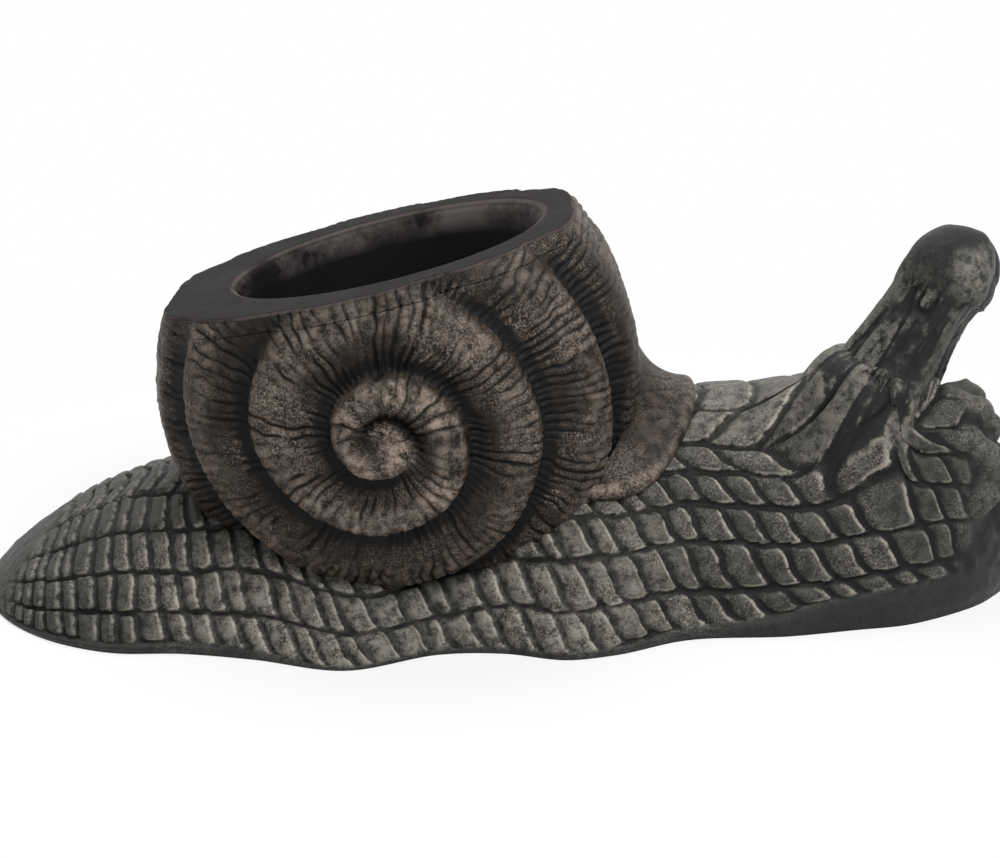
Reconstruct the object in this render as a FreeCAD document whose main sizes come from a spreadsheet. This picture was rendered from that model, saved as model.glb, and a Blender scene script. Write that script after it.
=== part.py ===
import FreeCAD, Part
import math
import os
import Sketcher

from FreeCAD import Placement, Rotation, Vector

# A garden planter in the form of a crawling snail. +X points to the head, +Z is up, and the ground is z = 0.
# The coiled shell is a round drum lying on its side, axis along Y. A slanted rim plane cuts off its top, and a
# planting bowl, whose flange is the rim, hangs in it. All sizes are in millimetres.
doc = FreeCAD.newDocument("snail_planter")
sheet = doc.addObject("Spreadsheet::Sheet", "Sizes")

SIZES = (
    # the coiled shell: a drum with a domed face on each side
    ("shell_x", -56), ("shell_z", 128), ("shell_radius", 134), ("shell_half_width", 128),
    ("shell_tread_half", 26), ("shell_shoulder", 62), ("shell_wall", 8), ("seat_height", 20),
    # the spiral suture on each face of the shell: its eye, its growth in a turn, and its round groove
    ("eye_back", 6), ("eye_down", 8), ("eye_radius", 8), ("whorl_growth", 38.5), ("whorl_turns", 2.8),
    ("suture_radius", 7), ("suture_depth", 4),
    # the lip of the shell, which lies on the neck
    ("lip_thick", 9), ("lip_x", 50), ("lip_reach", 60), ("lip_half_width", 90), ("lip_low", 80),
    # the rim plane: its height over the shell's axis and its slope up towards the head, in degrees
    ("rim_height", 199.5), ("rim_slope", 13.3), ("flange_thick", 9),
    # the planting bowl under the rim, and the ring on the shell's floor that its foot stands in
    ("bowl_x", -65), ("rim_band", 25), ("bowl_taper", 20), ("bowl_wall", 4), ("bowl_drain_gap", 12),
    ("foot_ring_wall", 4), ("foot_ring_lap", 6),
    # the drain: a stopper in the bowl and a tube through the foot
    ("drain_bore", 9), ("plug_brim", 4), ("plug_cap", 4), ("plug_tip", 2), ("plug_knob", 5), ("plug_knob_tall", 12),
    ("tube_bore", 8), ("tube_wall", 2), ("tube_flange", 5), ("tube_flange_thick", 2),
    # the screws that hold the shell down, and the inserts that they turn into
    ("screw_spread", 64), ("screw_radius", 2), ("screw_head", 4.5), ("screw_head_tall", 3), ("screw_length", 14),
    ("insert_wall", 2), ("insert_length", 11),
    # the eye stalks, leaning forwards (degrees) from their collars on the head
    ("stalk_spread", 28), ("stalk_lean", 27), ("stalk_from_nape", 19), ("stalk_foot_height", 134),
    ("stalk_root_radius", 25), ("stalk_top_radius", 19.5), ("stalk_length", 52), ("knob_radius", 25),
    ("knob_forward", 8), ("knob_up", 9), ("left_stalk_forward", 18), ("left_stalk_down", 16),
    ("collar_root_radius", 38), ("collar_top_radius", 31), ("collar_length", 40),
    ("spigot_radius", 11), ("spigot_length", 24),
    # the body's wall, thicker at the hem, what is cut off below to make the sole flat, and the room in fits
    ("body_wall", 5), ("hem_wall", 11), ("sole_trim", 1), ("fit", 0.3), ("slip", 0.05),
)

# Cross-sections of the body, from the shell's axis to the tail and to the head. Each has the run from the section
# before it, the half width of the hem on the ground, the height of the back, and how full it is, from 0 to 1.
TAIL_SECTIONS = (
    ("belly", 24, 132, 64, 0), ("tail_root", 52, 118, 84, 0), ("tail_back", 38, 111, 72, 0.2),
    ("tail_slope", 37, 110, 61, 0.3), ("tail_fall", 29, 99, 49, 0.4), ("tail_end", 26, 80, 35, 0.5),
    ("tail_point", 19, 57, 22, 0.6), ("tail_edge", 12, 35, 11, 0.8), ("tail_tip", 6, 16, 4, 1),
)
HEAD_SECTIONS = (
    ("waist", 24, 112, 76, 0), ("breast", 35, 111, 98, 0), ("bulge", 34, 119, 108, 0), ("shoulder", 24, 113, 112, 0),
    ("neck_root", 39, 94, 114, 0.2), ("neck", 60, 88, 116, 0.4), ("nape", 35, 80, 121, 0.7), ("crown", 30, 73, 124, 0.9),
    ("brow", 25, 60, 121, 1), ("snout", 20, 46, 110, 1), ("lips", 14, 31, 88, 1), ("chin", 10, 17, 56, 1),
    ("chin_tip", 5, 5, 22, 1),
)
# The half outlines of a lean and of a full section: shares of the half width and the height, from hem to back.
LEAN_OUTLINE = ((1, 0), (0.985, 0.07), (0.90, 0.25), (0.75, 0.52), (0.52, 0.79), (0.27, 0.95), (0, 1))
FULL_OUTLINE = ((1, 0), (1, 0.10), (0.98, 0.34), (0.90, 0.62), (0.68, 0.86), (0.36, 0.97), (0, 1))

cells = list(SIZES)
for name, run, half_width, height, fullness in TAIL_SECTIONS + HEAD_SECTIONS:
    cells += [(name + "_run", run), (name + "_half", half_width), (name + "_tall", height)]
for row, (alias, value) in enumerate(cells, start=1):
    sheet.set("A%d" % row, alias)
    sheet.set("B%d" % row, str(value))
    sheet.setAlias("B%d" % row, alias)
doc.recompute()


def size(alias):
    return float(sheet.get(alias))


def bind(piece, **expressions):
    """Ties a piece's properties to the sheet; x, y, z and turn are its place and its angle."""
    places = {"x": "Placement.Base.x", "y": "Placement.Base.y", "z": "Placement.Base.z",
              "turn": "Placement.Rotation.Angle"}
    for name, expression in expressions.items():
        piece.setExpression(places.get(name, name), expression)
    return piece


def primitive(kind, name, **expressions):
    """A Part primitive; where it has a turn, that is about the Y axis."""
    piece = doc.addObject("Part::" + kind, name)
    if "turn" in expressions:
        piece.Placement = Placement(Vector(0, 0, 0), Rotation(Vector(0, 1, 0), 90))
    return bind(piece, **expressions)


def cut(name, base, *tools):
    piece = doc.addObject("Part::Cut", name)
    piece.Base = base
    piece.Tool = tools[0] if len(tools) == 1 else fuse(name + "_tools", *tools)
    return piece


def fuse(name, *pieces):
    piece = doc.addObject("Part::MultiFuse", name)
    piece.Shapes = list(pieces)
    return piece


def common(name, *pieces):
    piece = doc.addObject("Part::MultiCommon", name)
    piece.Shapes = list(pieces)
    return piece


# The drum of the shell: a tread, two round shoulders and two domed faces, turned about the Y axis

SHOULDER_X = "(Sizes.shell_radius - Sizes.shell_shoulder)"
DOME_LEVEL = "(Sizes.shell_half_width - Sizes.shell_shoulder)"
DOME_SINK = ("((%s ^ 2 + Sizes.shell_tread_half ^ 2 - %s ^ 2) / (2 * (%s - Sizes.shell_tread_half)))"
             % (SHOULDER_X, DOME_LEVEL, DOME_LEVEL))


def drum_profile(growth):
    """The shoulder's centre and radius, and how far the dome's centre lies behind the axis, and its radius."""
    tread = size("shell_tread_half")
    shoulder_x = size("shell_radius") - size("shell_shoulder")
    level = size("shell_half_width") - size("shell_shoulder")
    sink = (shoulder_x ** 2 + tread ** 2 - level ** 2) / (2 * (level - tread))
    return shoulder_x, size("shell_shoulder") + growth, sink, size("shell_half_width") + growth + sink


def drum(name, growth, growth_size):
    """The drum as a turned body, grown on all sides by an expression and its size."""
    radius = size("shell_radius") + growth_size
    half_width = size("shell_half_width") + growth_size
    tread = size("shell_tread_half")
    shoulder_x, shoulder, sink, dome = drum_profile(growth_size)
    meet = math.atan2(tread + sink, shoulder_x)
    up = Vector(0, 0, 1)
    upper_dome = Part.Circle(Vector(0, -sink, 0), up, dome)
    upper_shoulder = Part.Circle(Vector(shoulder_x, tread, 0), up, shoulder)
    lower_dome = Part.Circle(Vector(0, sink, 0), up, dome)
    lower_shoulder = Part.Circle(Vector(shoulder_x, -tread, 0), up, shoulder)

    body = doc.addObject("PartDesign::Body", name)
    sketch = body.newObject("Sketcher::SketchObject", name + "_profile")
    plane = [item for item in body.Origin.OriginFeatures if item.Role == "XY_Plane"][0]
    sketch.AttachmentSupport = [(plane, "")]
    sketch.MapMode = "FlatFace"
    sketch.addGeometry([
        Part.LineSegment(Vector(0, -half_width, 0), Vector(0, half_width, 0)),
        Part.ArcOfCircle(upper_dome, meet, math.pi / 2),
        Part.ArcOfCircle(upper_shoulder, 0, meet),
        Part.LineSegment(Vector(radius, -tread, 0), Vector(radius, tread, 0)),
        Part.ArcOfCircle(lower_shoulder, -meet, 0),
        Part.ArcOfCircle(lower_dome, -math.pi / 2, -meet),
    ], False)
    axis, dome_up, shoulder_up, tread_line, shoulder_low, dome_low = range(6)
    start, end, centre = 1, 2, 3
    origin, x_axis, y_axis = -1, -1, -2
    for rule in (
        ("Coincident", axis, end, dome_up, end), ("Coincident", axis, start, dome_low, start),
        ("PointOnObject", axis, end, y_axis),
        ("Symmetric", axis, start, axis, end, origin, start),
        ("PointOnObject", dome_up, centre, y_axis), ("PointOnObject", dome_low, centre, y_axis),
        ("Tangent", dome_up, start, shoulder_up, end), ("Tangent", shoulder_up, start, tread_line, end),
        ("Tangent", tread_line, start, shoulder_low, end), ("Tangent", shoulder_low, start, dome_low, end),
        ("Symmetric", tread_line, start, tread_line, end, x_axis),
    ):
        sketch.addConstraint(Sketcher.Constraint(*rule))
    for rule, expression in (
        (("DistanceY", axis, start, axis, end, 2 * half_width), "2 * (Sizes.shell_half_width + %s)" % growth),
        (("DistanceX", origin, start, tread_line, start, radius), "Sizes.shell_radius + %s" % growth),
        (("DistanceY", tread_line, start, tread_line, end, 2 * tread), "2 * Sizes.shell_tread_half"),
        (("Radius", shoulder_up, shoulder), "Sizes.shell_shoulder + %s" % growth),
        (("Radius", shoulder_low, shoulder), "Sizes.shell_shoulder + %s" % growth),
    ):
        number = sketch.addConstraint(Sketcher.Constraint(*rule))
        sketch.setExpression("Constraints[%d]" % number, expression)
    turned = body.newObject("PartDesign::Revolution", name + "_turned")
    turned.Profile = sketch
    turned.ReferenceAxis = (sketch, ["V_Axis"])
    turned.Angle = 360
    return bind(body, x="Sizes.shell_x", z="Sizes.shell_z")


def suture(name, side):
    """A round groove along the spiral on one face of the drum: its radius grows evenly as it turns clockwise."""
    steps_per_turn = 10
    stand_off = size("suture_radius") - size("suture_depth")
    shoulder_x, shoulder, sink, dome = drum_profile(stand_off)
    points = []
    for step in range(int(size("whorl_turns") * steps_per_turn) + 1):
        turn = step / steps_per_turn
        reach = size("eye_radius") + size("whorl_growth") * turn
        x = reach * math.cos(2 * math.pi * turn) - size("eye_back")
        z = -reach * math.sin(2 * math.pi * turn) - size("eye_down")
        from_axis = math.hypot(x, z)
        if from_axis < dome * shoulder_x / (dome - shoulder):
            face = math.sqrt(dome ** 2 - from_axis ** 2) - sink
        else:
            face = size("shell_tread_half") + math.sqrt(max(shoulder ** 2 - (from_axis - shoulder_x) ** 2, 0))
        points.append(Vector(size("shell_x") + x, side * face, size("shell_z") + z))
    line = Part.BSplineCurve()
    line.interpolate(points)
    way = line.tangent(line.FirstParameter)[0]
    ring = Part.Wire(Part.makeCircle(size("suture_radius"), points[0], way))
    piece = doc.addObject("Part::Feature", name)
    piece.Shape = Part.Wire(line.toShape()).makePipeShell([ring], True, False)
    return piece


drum_round = drum("drum_round", "0", 0)
drum_outside = cut("drum_outside", drum_round, suture("suture_right", -1), suture("suture_left", 1))
drum_inside = drum("drum_inside", "(0 - Sizes.shell_wall)", -size("shell_wall"))
drum_room = drum("drum_room", "Sizes.fit", size("fit"))
drum_bed = drum("drum_bed", "(Sizes.fit + Sizes.body_wall)", size("fit") + size("body_wall"))

BLOCK = "(8 * Sizes.shell_radius)"
SLOPE = "(Sizes.rim_slope * 1 deg)"


def over_rim(name, drop):
    """A block of everything over the slanted rim plane, lowered square to that plane."""
    return primitive(
        "Box", name, Length=BLOCK, Width=BLOCK, Height=BLOCK, turn="0 deg - " + SLOPE,
        x="Sizes.shell_x - %s / 2 * cos(%s)" % (BLOCK, SLOPE), y="0 - %s / 2" % BLOCK,
        z="Sizes.rim_height - (%s) / cos(%s) - %s / 2 * sin(%s)" % (drop, SLOPE, BLOCK, SLOPE))


def under_level(name, level):
    """A block of everything under a level."""
    return primitive("Box", name, Length=BLOCK, Width=BLOCK, Height=BLOCK, x="Sizes.shell_x - %s / 2" % BLOCK,
                     y="0 - %s / 2" % BLOCK, z="%s - %s" % (level, BLOCK))


def rod(name, radius, low, high, x="Sizes.bowl_x", y="0"):
    """An upright cylinder between two levels."""
    return primitive("Cylinder", name, Radius=radius, Height="(%s) - (%s)" % (high, low), x=x, y=y, z=low)


above_rim = over_rim("above_rim", "0")
above_flange = over_rim("above_flange", "Sizes.flange_thick")
above_shell = over_rim("above_shell", "Sizes.flange_thick + Sizes.fit")


# The body: foot, tail, neck and head

def body_sections(growth, widening, floor):
    """The closed section wires from the tail to the head, grown upwards and to the sides, and standing on a
    floor. Where they shrink, for the hollow inside, they leave out the tips, which stay solid."""
    places = []
    for sections, step in ((TAIL_SECTIONS, -1), (HEAD_SECTIONS, 1)):
        x = size("shell_x")
        for name, run, half_width, height, fullness in sections:
            x += step * size(name + "_run")
            places.append((x, size(name + "_half"), size(name + "_tall"), fullness))
    places.sort()
    if growth < 0:
        places = [place for place in places[1:-1] if place[2] > 4 * abs(growth)]
    wires = []
    for x, half_width, height, fullness in places:
        rise = height + growth - floor
        half = []
        for (lean_across, lean_up), (full_across, full_up) in zip(LEAN_OUTLINE, FULL_OUTLINE):
            across = lean_across + fullness * (full_across - lean_across)
            up = lean_up + fullness * (full_up - lean_up)
            half.append(Vector(x, (half_width + widening) * across, floor + rise * up))
        outline = [Vector(point.x, -point.y, point.z) for point in half] + half[-2::-1]
        back = Part.BSplineCurve()
        back.interpolate(outline)
        wires.append(Part.Wire([back.toShape(), Part.makeLine(outline[-1], outline[0])]))
    return wires


def loft(name, growth, widening, floor):
    piece = doc.addObject("Part::Feature", name)
    piece.Shape = Part.makeLoft(body_sections(growth, widening, floor), True, False)
    return piece


below_ground = -size("sole_trim")
body_outside = cut("body_outside", loft("body_blank", 0, 0, below_ground), under_level("under_sole", "0"))
body_hollow = loft("body_hollow", -size("body_wall"), -size("hem_wall"), size("body_wall"))
lip_under = loft("lip_under", size("fit"), size("fit"), below_ground)
lip_top = size("fit") + size("lip_thick")
lip_over = loft("lip_over", lip_top, lip_top, below_ground)

# Eye stalks: a cone with a round knob that leans forwards, on a collar of the head, with a spigot in the collar

TO_NAPE = ("waist", "breast", "bulge", "shoulder", "neck_root", "neck", "nape")
NAPE_X = "(Sizes.shell_x + %s)" % " + ".join("Sizes.%s_run" % name for name in TO_NAPE)
LEAN = "(Sizes.stalk_lean * 1 deg)"


def leaning(kind, name, side, along, ahead="0", above="0", **expressions):
    """A primitive on the axis of a stalk, at a distance along it from the stalk's foot."""
    forward = "Sizes.left_stalk_forward" if side == "left" else "0"
    down = "Sizes.left_stalk_down" if side == "left" else "0"
    return primitive(
        kind, name + "_" + side, turn=LEAN,
        x="%s + Sizes.stalk_from_nape + %s + %s + (%s) * sin(%s)" % (NAPE_X, forward, ahead, along, LEAN),
        y="Sizes.stalk_spread" if side == "left" else "0 - Sizes.stalk_spread",
        z="Sizes.stalk_foot_height - %s + %s + (%s) * cos(%s)" % (down, above, along, LEAN), **expressions)


stalks = []
collars = []
stalk_rooms = []
spigot_bosses = []
for side in ("right", "left"):
    shaft = leaning("Cone", "stalk_shaft", side, "0", Radius1="Sizes.stalk_root_radius",
                    Radius2="Sizes.stalk_top_radius", Height="Sizes.stalk_length")
    spigot = leaning("Cylinder", "stalk_spigot", side, "0 - Sizes.spigot_length", Radius="Sizes.spigot_radius",
                     Height="Sizes.spigot_length + Sizes.stalk_top_radius")
    knob = leaning("Sphere", "stalk_knob", side, "Sizes.stalk_length", ahead="Sizes.knob_forward",
                   above="Sizes.knob_up", Radius="Sizes.knob_radius")
    stalk = fuse("stalk_" + side, shaft, spigot, knob)
    stalk.Label = "eye_stalk_" + side
    stalks.append(stalk)
    collars.append(leaning("Cone", "collar", side, "0 - Sizes.collar_length", Radius1="Sizes.collar_root_radius",
                           Radius2="Sizes.collar_top_radius", Height="Sizes.collar_length"))
    spigot_bosses.append(leaning("Cylinder", "spigot_boss", side,
                                 "0 - Sizes.spigot_length - Sizes.fit - Sizes.body_wall",
                                 Radius="Sizes.spigot_radius + Sizes.slip + Sizes.body_wall",
                                 Height="Sizes.spigot_length + Sizes.fit + Sizes.body_wall"))
    spigot_bosses.append(leaning("Cylinder", "stalk_bed", side, "0 - Sizes.body_wall",
                                 Radius="Sizes.stalk_root_radius + Sizes.body_wall", Height="Sizes.stalk_length"))
    socket = leaning("Cylinder", "socket", side, "0 - Sizes.spigot_length - Sizes.fit",
                     Radius="Sizes.spigot_radius + Sizes.slip",
                     Height="Sizes.spigot_length + Sizes.fit + Sizes.stalk_top_radius")
    over_collar = leaning("Cone", "over_collar", side, "0", Radius1="Sizes.stalk_root_radius + Sizes.fit",
                          Radius2="Sizes.stalk_top_radius + Sizes.fit", Height="Sizes.stalk_length")
    stalk_rooms += [socket, over_collar]

# The seat of the shell: screws at the corners of a square round the shell's axis, and the drain under the bowl

SHELL_FLOOR = "(Sizes.seat_height + Sizes.shell_wall)"
INSERT_RADIUS = "(Sizes.screw_radius + Sizes.slip + Sizes.insert_wall)"
TUBE_RADIUS = "(Sizes.tube_bore + Sizes.tube_wall)"
SCREW_PLACES = [("Sizes.shell_x %s Sizes.screw_spread / 2" % along, "0 %s Sizes.screw_spread / 2" % across)
                for along in "+-" for across in "+-"]


def at_screws(name, radius, low, high):
    """Like cylinders on the axes of the four screws."""
    return [rod("%s_%d" % (name, number), radius, low, high, x, y)
            for number, (x, y) in enumerate(SCREW_PLACES, start=1)]


insert_foot = "Sizes.seat_height - Sizes.insert_length"
screw_bosses = at_screws("screw_boss", INSERT_RADIUS + " + Sizes.body_wall", "0", "Sizes.seat_height")
tube_boss = rod("tube_boss", TUBE_RADIUS + " + Sizes.body_wall", "0", "Sizes.seat_height")

# The body is a closed hollow moulding: the outer form less the room for the shell, and less the hollow inside,
# which leaves a wall under the shell, round the drain and each insert, and round each spigot and stalk foot.
below_bed = under_level("below_bed", "(Sizes.seat_height - Sizes.body_wall)")
below_seat = under_level("below_seat", "Sizes.seat_height")
shell_bed = cut("shell_bed", drum_bed, below_bed)
shell_room = cut("shell_room", drum_room, below_seat)
hollow = cut("hollow", body_hollow, shell_bed, tube_boss, *screw_bosses, *spigot_bosses)
body_form = fuse("body_form", body_outside, *collars)
insert_holes = at_screws("insert_hole", INSERT_RADIUS, insert_foot, "Sizes.seat_height")
tube_tunnel = rod("tube_tunnel", TUBE_RADIUS, "0 - Sizes.fit", "Sizes.seat_height")
body_with_bed = cut("body_with_bed", body_form, shell_room)
body_shell = cut("body_shell", body_with_bed, hollow)
body_with_holes = cut("body_with_holes", body_shell, tube_tunnel, *insert_holes)
snail_body = cut("body_moulding", body_with_holes, *stalk_rooms)
snail_body.Label = "snail_body"

# The coiled shell: the drum under the bowl's flange, standing on a flat seat, hollow, with the lip on the neck

lip_plan = bind(doc.addObject("Part::Ellipse", "lip_plan"), MajorRadius="Sizes.lip_half_width",
                MinorRadius="Sizes.lip_reach", x="Sizes.lip_x")
lip_plan.Placement = Placement(Vector(0, 0, 0), Rotation(Vector(0, 0, 1), 90))
lip_column = doc.addObject("Part::Extrusion", "lip_column")
lip_column.Base = lip_plan
lip_column.DirMode = "Custom"
lip_column.Dir = Vector(0, 0, 1)
lip_column.Solid = True
bind(lip_column, LengthFwd=BLOCK)
lip = cut("lip", common("lip_layer", lip_over, lip_column), lip_under, drum_inside,
          under_level("below_lip", "Sizes.lip_low"))
drum_body = cut("drum_body", drum_outside, above_shell, below_seat)
shell_cavity = cut("shell_cavity", drum_inside, under_level("below_floor", SHELL_FLOOR))

BOWL_RADIUS = ("(sqrt((Sizes.shell_half_width + %s) ^ 2 - (Sizes.rim_height - Sizes.shell_z) ^ 2) - %s"
               " - Sizes.rim_band)" % (DOME_SINK, DOME_SINK))
BOWL_FOOT = "(%s + Sizes.bowl_drain_gap)" % SHELL_FLOOR
FOOT_RADIUS = "(%s - Sizes.bowl_taper + Sizes.bowl_wall)" % BOWL_RADIUS
ring_top = "%s + Sizes.foot_ring_lap" % BOWL_FOOT
ring_room = "%s + Sizes.bowl_taper / 4 + Sizes.fit" % FOOT_RADIUS
foot_ring = cut("foot_ring", rod("ring_outside", ring_room + " + Sizes.foot_ring_wall", "Sizes.seat_height", ring_top),
                rod("ring_inside", ring_room, SHELL_FLOOR, ring_top))
ring_in_drum = common("ring_in_drum", foot_ring, drum_body)
shell_hull = cut("shell_hull", fuse("shell_form", drum_body, lip), shell_cavity)
screw_holes = at_screws("screw_hole", "Sizes.screw_radius + Sizes.fit", "Sizes.seat_height", SHELL_FLOOR)
coiled_shell = cut("shell_moulding", fuse("shell_with_ring", shell_hull, ring_in_drum),
                   rod("shell_drain", TUBE_RADIUS + " + Sizes.slip", "Sizes.seat_height", SHELL_FLOOR), *screw_holes)
coiled_shell.Label = "coiled_shell"

# The planting bowl: a tapered cup under a slanted flange, whose outline is the shell's own

CUP_TOP = "(Sizes.rim_height + Sizes.shell_radius)"


def cup(name, foot, radius):
    """An upright cone that widens from the bowl's foot and reaches the bowl's radius at the height of the rim."""
    gain = "Sizes.bowl_taper * (%s - %s) / (Sizes.rim_height - %s)" % (CUP_TOP, foot, foot)
    return primitive("Cone", name, Radius1="%s - Sizes.bowl_taper" % radius,
                     Radius2="%s - Sizes.bowl_taper + %s" % (radius, gain),
                     Height="%s - %s" % (CUP_TOP, foot), x="Sizes.bowl_x", z=foot)


flange = common("flange", drum_outside, above_flange)
cup_outside = cup("cup_outside", BOWL_FOOT, "(%s + Sizes.bowl_wall)" % BOWL_RADIUS)
cup_inside = cup("cup_inside", "(%s + Sizes.bowl_wall)" % BOWL_FOOT, BOWL_RADIUS)
drain_hole = rod("drain_hole", "Sizes.drain_bore", BOWL_FOOT, "%s + Sizes.bowl_wall" % BOWL_FOOT)
planting_bowl = cut("bowl_moulding", fuse("bowl_form", flange, cup_outside), above_rim, cup_inside, drain_hole)
planting_bowl.Label = "planting_bowl"

# The drain: a stopper with a pull knob in the bowl's floor, and a flanged tube from the shell's floor to the ground

bowl_floor = "(%s + Sizes.bowl_wall)" % BOWL_FOOT
cap_top = "(%s + Sizes.fit + Sizes.plug_cap)" % bowl_floor
drain_plug = fuse(
    "plug", rod("plug_stem", "Sizes.drain_bore - Sizes.slip", "%s - Sizes.plug_tip" % BOWL_FOOT, cap_top),
    rod("plug_cap", "Sizes.drain_bore + Sizes.plug_brim", "%s + Sizes.fit" % bowl_floor, cap_top),
    rod("plug_knob", "Sizes.plug_knob", bowl_floor, "%s + Sizes.plug_knob_tall" % cap_top))
drain_plug.Label = "drain_plug"

tube_top = "(%s + Sizes.tube_flange_thick)" % SHELL_FLOOR
drain_tube = cut(
    "tube", fuse("tube_form", rod("tube_wall", TUBE_RADIUS, "0", tube_top),
                 rod("tube_brim", TUBE_RADIUS + " + Sizes.tube_flange", SHELL_FLOOR, tube_top)),
    rod("tube_channel", "Sizes.tube_bore", "0", tube_top))
drain_tube.Label = "drain_tube"

# Fasteners: four screws, heads on the shell's floor, in four inserts in the body

shanks = at_screws("screw_shank", "Sizes.screw_radius", "%s - Sizes.screw_length" % SHELL_FLOOR, SHELL_FLOOR)
heads = at_screws("screw_cap", "Sizes.screw_head", SHELL_FLOOR, "%s + Sizes.screw_head_tall" % SHELL_FLOOR)
shell_screws = fuse("screws", *shanks, *heads)
shell_screws.Label = "shell_screws"
insert_bores = at_screws("insert_bore", "Sizes.screw_radius + Sizes.slip", insert_foot, "Sizes.seat_height")
insert_rods = at_screws("insert_rod", INSERT_RADIUS, insert_foot, "Sizes.seat_height")
screw_inserts = cut("inserts", fuse("insert_rods", *insert_rods), *insert_bores)
screw_inserts.Label = "screw_inserts"

doc.recompute()

pieces = [snail_body, coiled_shell, planting_bowl, drain_plug, drain_tube, shell_screws, screw_inserts] + stalks
for item in doc.Objects:
    if "Invalid" in item.State or "Error" in item.State:
        raise RuntimeError("%s failed: %s" % (item.Name, item.State))
for piece in pieces:
    if piece.Shape.isNull() or not piece.Shape.isValid() or not piece.Shape.Solids:
        raise RuntimeError("%s has no sound solid" % piece.Label)

os.makedirs("parts", exist_ok=True)
for piece in pieces:
    piece.Shape.exportStep("parts/%s.step" % piece.Label)
    box = piece.Shape.optimalBoundingBox()
    print("%-16s solids %d  volume %.1f cm3  x %.1f to %.1f  y %.1f to %.1f  z %.1f to %.1f" % (
        piece.Label, len(piece.Shape.Solids), piece.Shape.Volume / 1000, box.XMin, box.XMax, box.YMin, box.YMax,
        box.ZMin, box.ZMax))
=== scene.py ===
import math

import bmesh
import bpy
import numpy as np
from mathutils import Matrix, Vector


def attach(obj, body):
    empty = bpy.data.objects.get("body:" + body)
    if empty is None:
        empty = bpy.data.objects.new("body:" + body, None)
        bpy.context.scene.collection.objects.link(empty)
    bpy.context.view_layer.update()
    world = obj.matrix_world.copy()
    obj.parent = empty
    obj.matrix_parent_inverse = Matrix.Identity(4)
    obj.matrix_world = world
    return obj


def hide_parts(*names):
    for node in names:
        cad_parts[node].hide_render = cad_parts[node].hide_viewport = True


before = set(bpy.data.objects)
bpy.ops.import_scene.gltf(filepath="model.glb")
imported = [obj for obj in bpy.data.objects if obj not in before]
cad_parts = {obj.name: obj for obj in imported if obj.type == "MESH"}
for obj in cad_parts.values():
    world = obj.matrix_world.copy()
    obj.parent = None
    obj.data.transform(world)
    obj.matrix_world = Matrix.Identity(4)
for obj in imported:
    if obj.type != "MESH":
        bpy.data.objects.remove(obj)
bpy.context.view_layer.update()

MM = 0.001

# The snail's body: foot, tail, neck and head, one hollow moulding of dark plastic that lies on the ground.
# Rows of scales are moulded into its skin. A black wash stays in the grooves, and the edges are rubbed pale.
# The right and lower edges of the scales and the back of the neck get a painted highlight, and painted shade
# darkens the skin by the shell and on the head.

# Sections from the tail to the head, in millimetres: place along the snail, half width, height, fullness
BODY_SECTIONS = np.array([
    (-299.6, 1, 0.3, 1), (-299, 16, 4, 1), (-293, 35, 11, 0.8), (-281, 57, 22, 0.6), (-262, 80, 35, 0.5),
    (-236, 99, 49, 0.4), (-207, 110, 61, 0.3), (-170, 111, 72, 0.2), (-132, 118, 84, 0), (-80, 132, 64, 0),
    (-32, 112, 76, 0), (3, 111, 98, 0), (37, 119, 108, 0), (61, 113, 112, 0), (100, 94, 114, 0.2),
    (160, 88, 116, 0.4), (195, 80, 121, 0.7), (225, 73, 124, 0.9), (250, 60, 121, 1), (270, 46, 110, 1),
    (284, 31, 88, 1), (294, 17, 56, 1), (299, 5, 22, 1), (299.4, 1, 0.3, 1),
])
# Half outlines of a lean and a full section, from hem to back: shares of the half width and of the height
LEAN_OUTLINE = np.array([
    (1, 0), (0.985, 0.07), (0.90, 0.25), (0.75, 0.52), (0.52, 0.79), (0.27, 0.95), (0, 1),
])
FULL_OUTLINE = np.array([
    (1, 0), (1, 0.10), (0.98, 0.34), (0.90, 0.62), (0.68, 0.86), (0.36, 0.97), (0, 1),
])
# Rows of scales: place along the snail, then the lines between rows, as shares of the way from hem to back
ROW_PLAN = np.array([
    (-299, 0.06, 0.22, 0.42, 0.62, 0.86, 1.2, 1.4), (-212, 0.06, 0.23, 0.42, 0.62, 0.86, 1.2, 1.4),
    (-165, 0.065, 0.205, 0.375, 0.55, 0.75, 1.15, 1.35), (-90, 0.03, 0.20, 0.36, 0.52, 0.69, 1.0, 1.2),
    (54, 0.03, 0.18, 0.33, 0.45, 0.56, 0.70, 0.9), (125, 0.05, 0.163, 0.31, 0.428, 0.53, 0.625, 0.80),
    (174, 0.095, 0.155, 0.275, 0.39, 0.495, 0.59, 0.78), (299, 0.12, 0.16, 0.26, 0.38, 0.49, 0.60, 0.78),
])
# The scales along the snail: place, length, and how far a cross groove slants and bends, in scale lengths
SCALE_PLAN = np.array([
    (-299, 9, 0.0, 0.05), (-250, 12, 0.05, 0.07), (-212, 13, 0.15, 0.10), (-165, 14, 0.35, 0.13),
    (-90, 16, 0.55, 0.2), (0, 16, 0.55, 0.22), (70, 16.5, 0.55, 0.22), (130, 18, 0.55, 0.24),
    (200, 19, 0.55, 0.22), (299, 14, 0.3, 0.1),
])
# The longer plates near the back: the first row of each kind, their pace, and the lean of the crossing ones
LONG_ROW, LONG_PACE = 4, 0.6
CROSS_ROW, CROSS_PACE, CROSS_LEAN, CROSS_CURL = 5, 0.66, -0.55, -0.1
# Grooves and scales: half width and depth of a groove, crown and tilt of a scale, its soft corners and edge
GROOVE_HALF, GROOVE_DEPTH = 2.3, 2.8
SCALE_CROWN, SCALE_TILT, CROWN_RUN = 0.9, 1.9, 2.5
ROW_THIN, CORNER, FAR_EDGE = 1.5, 0.8, 6.0
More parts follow.
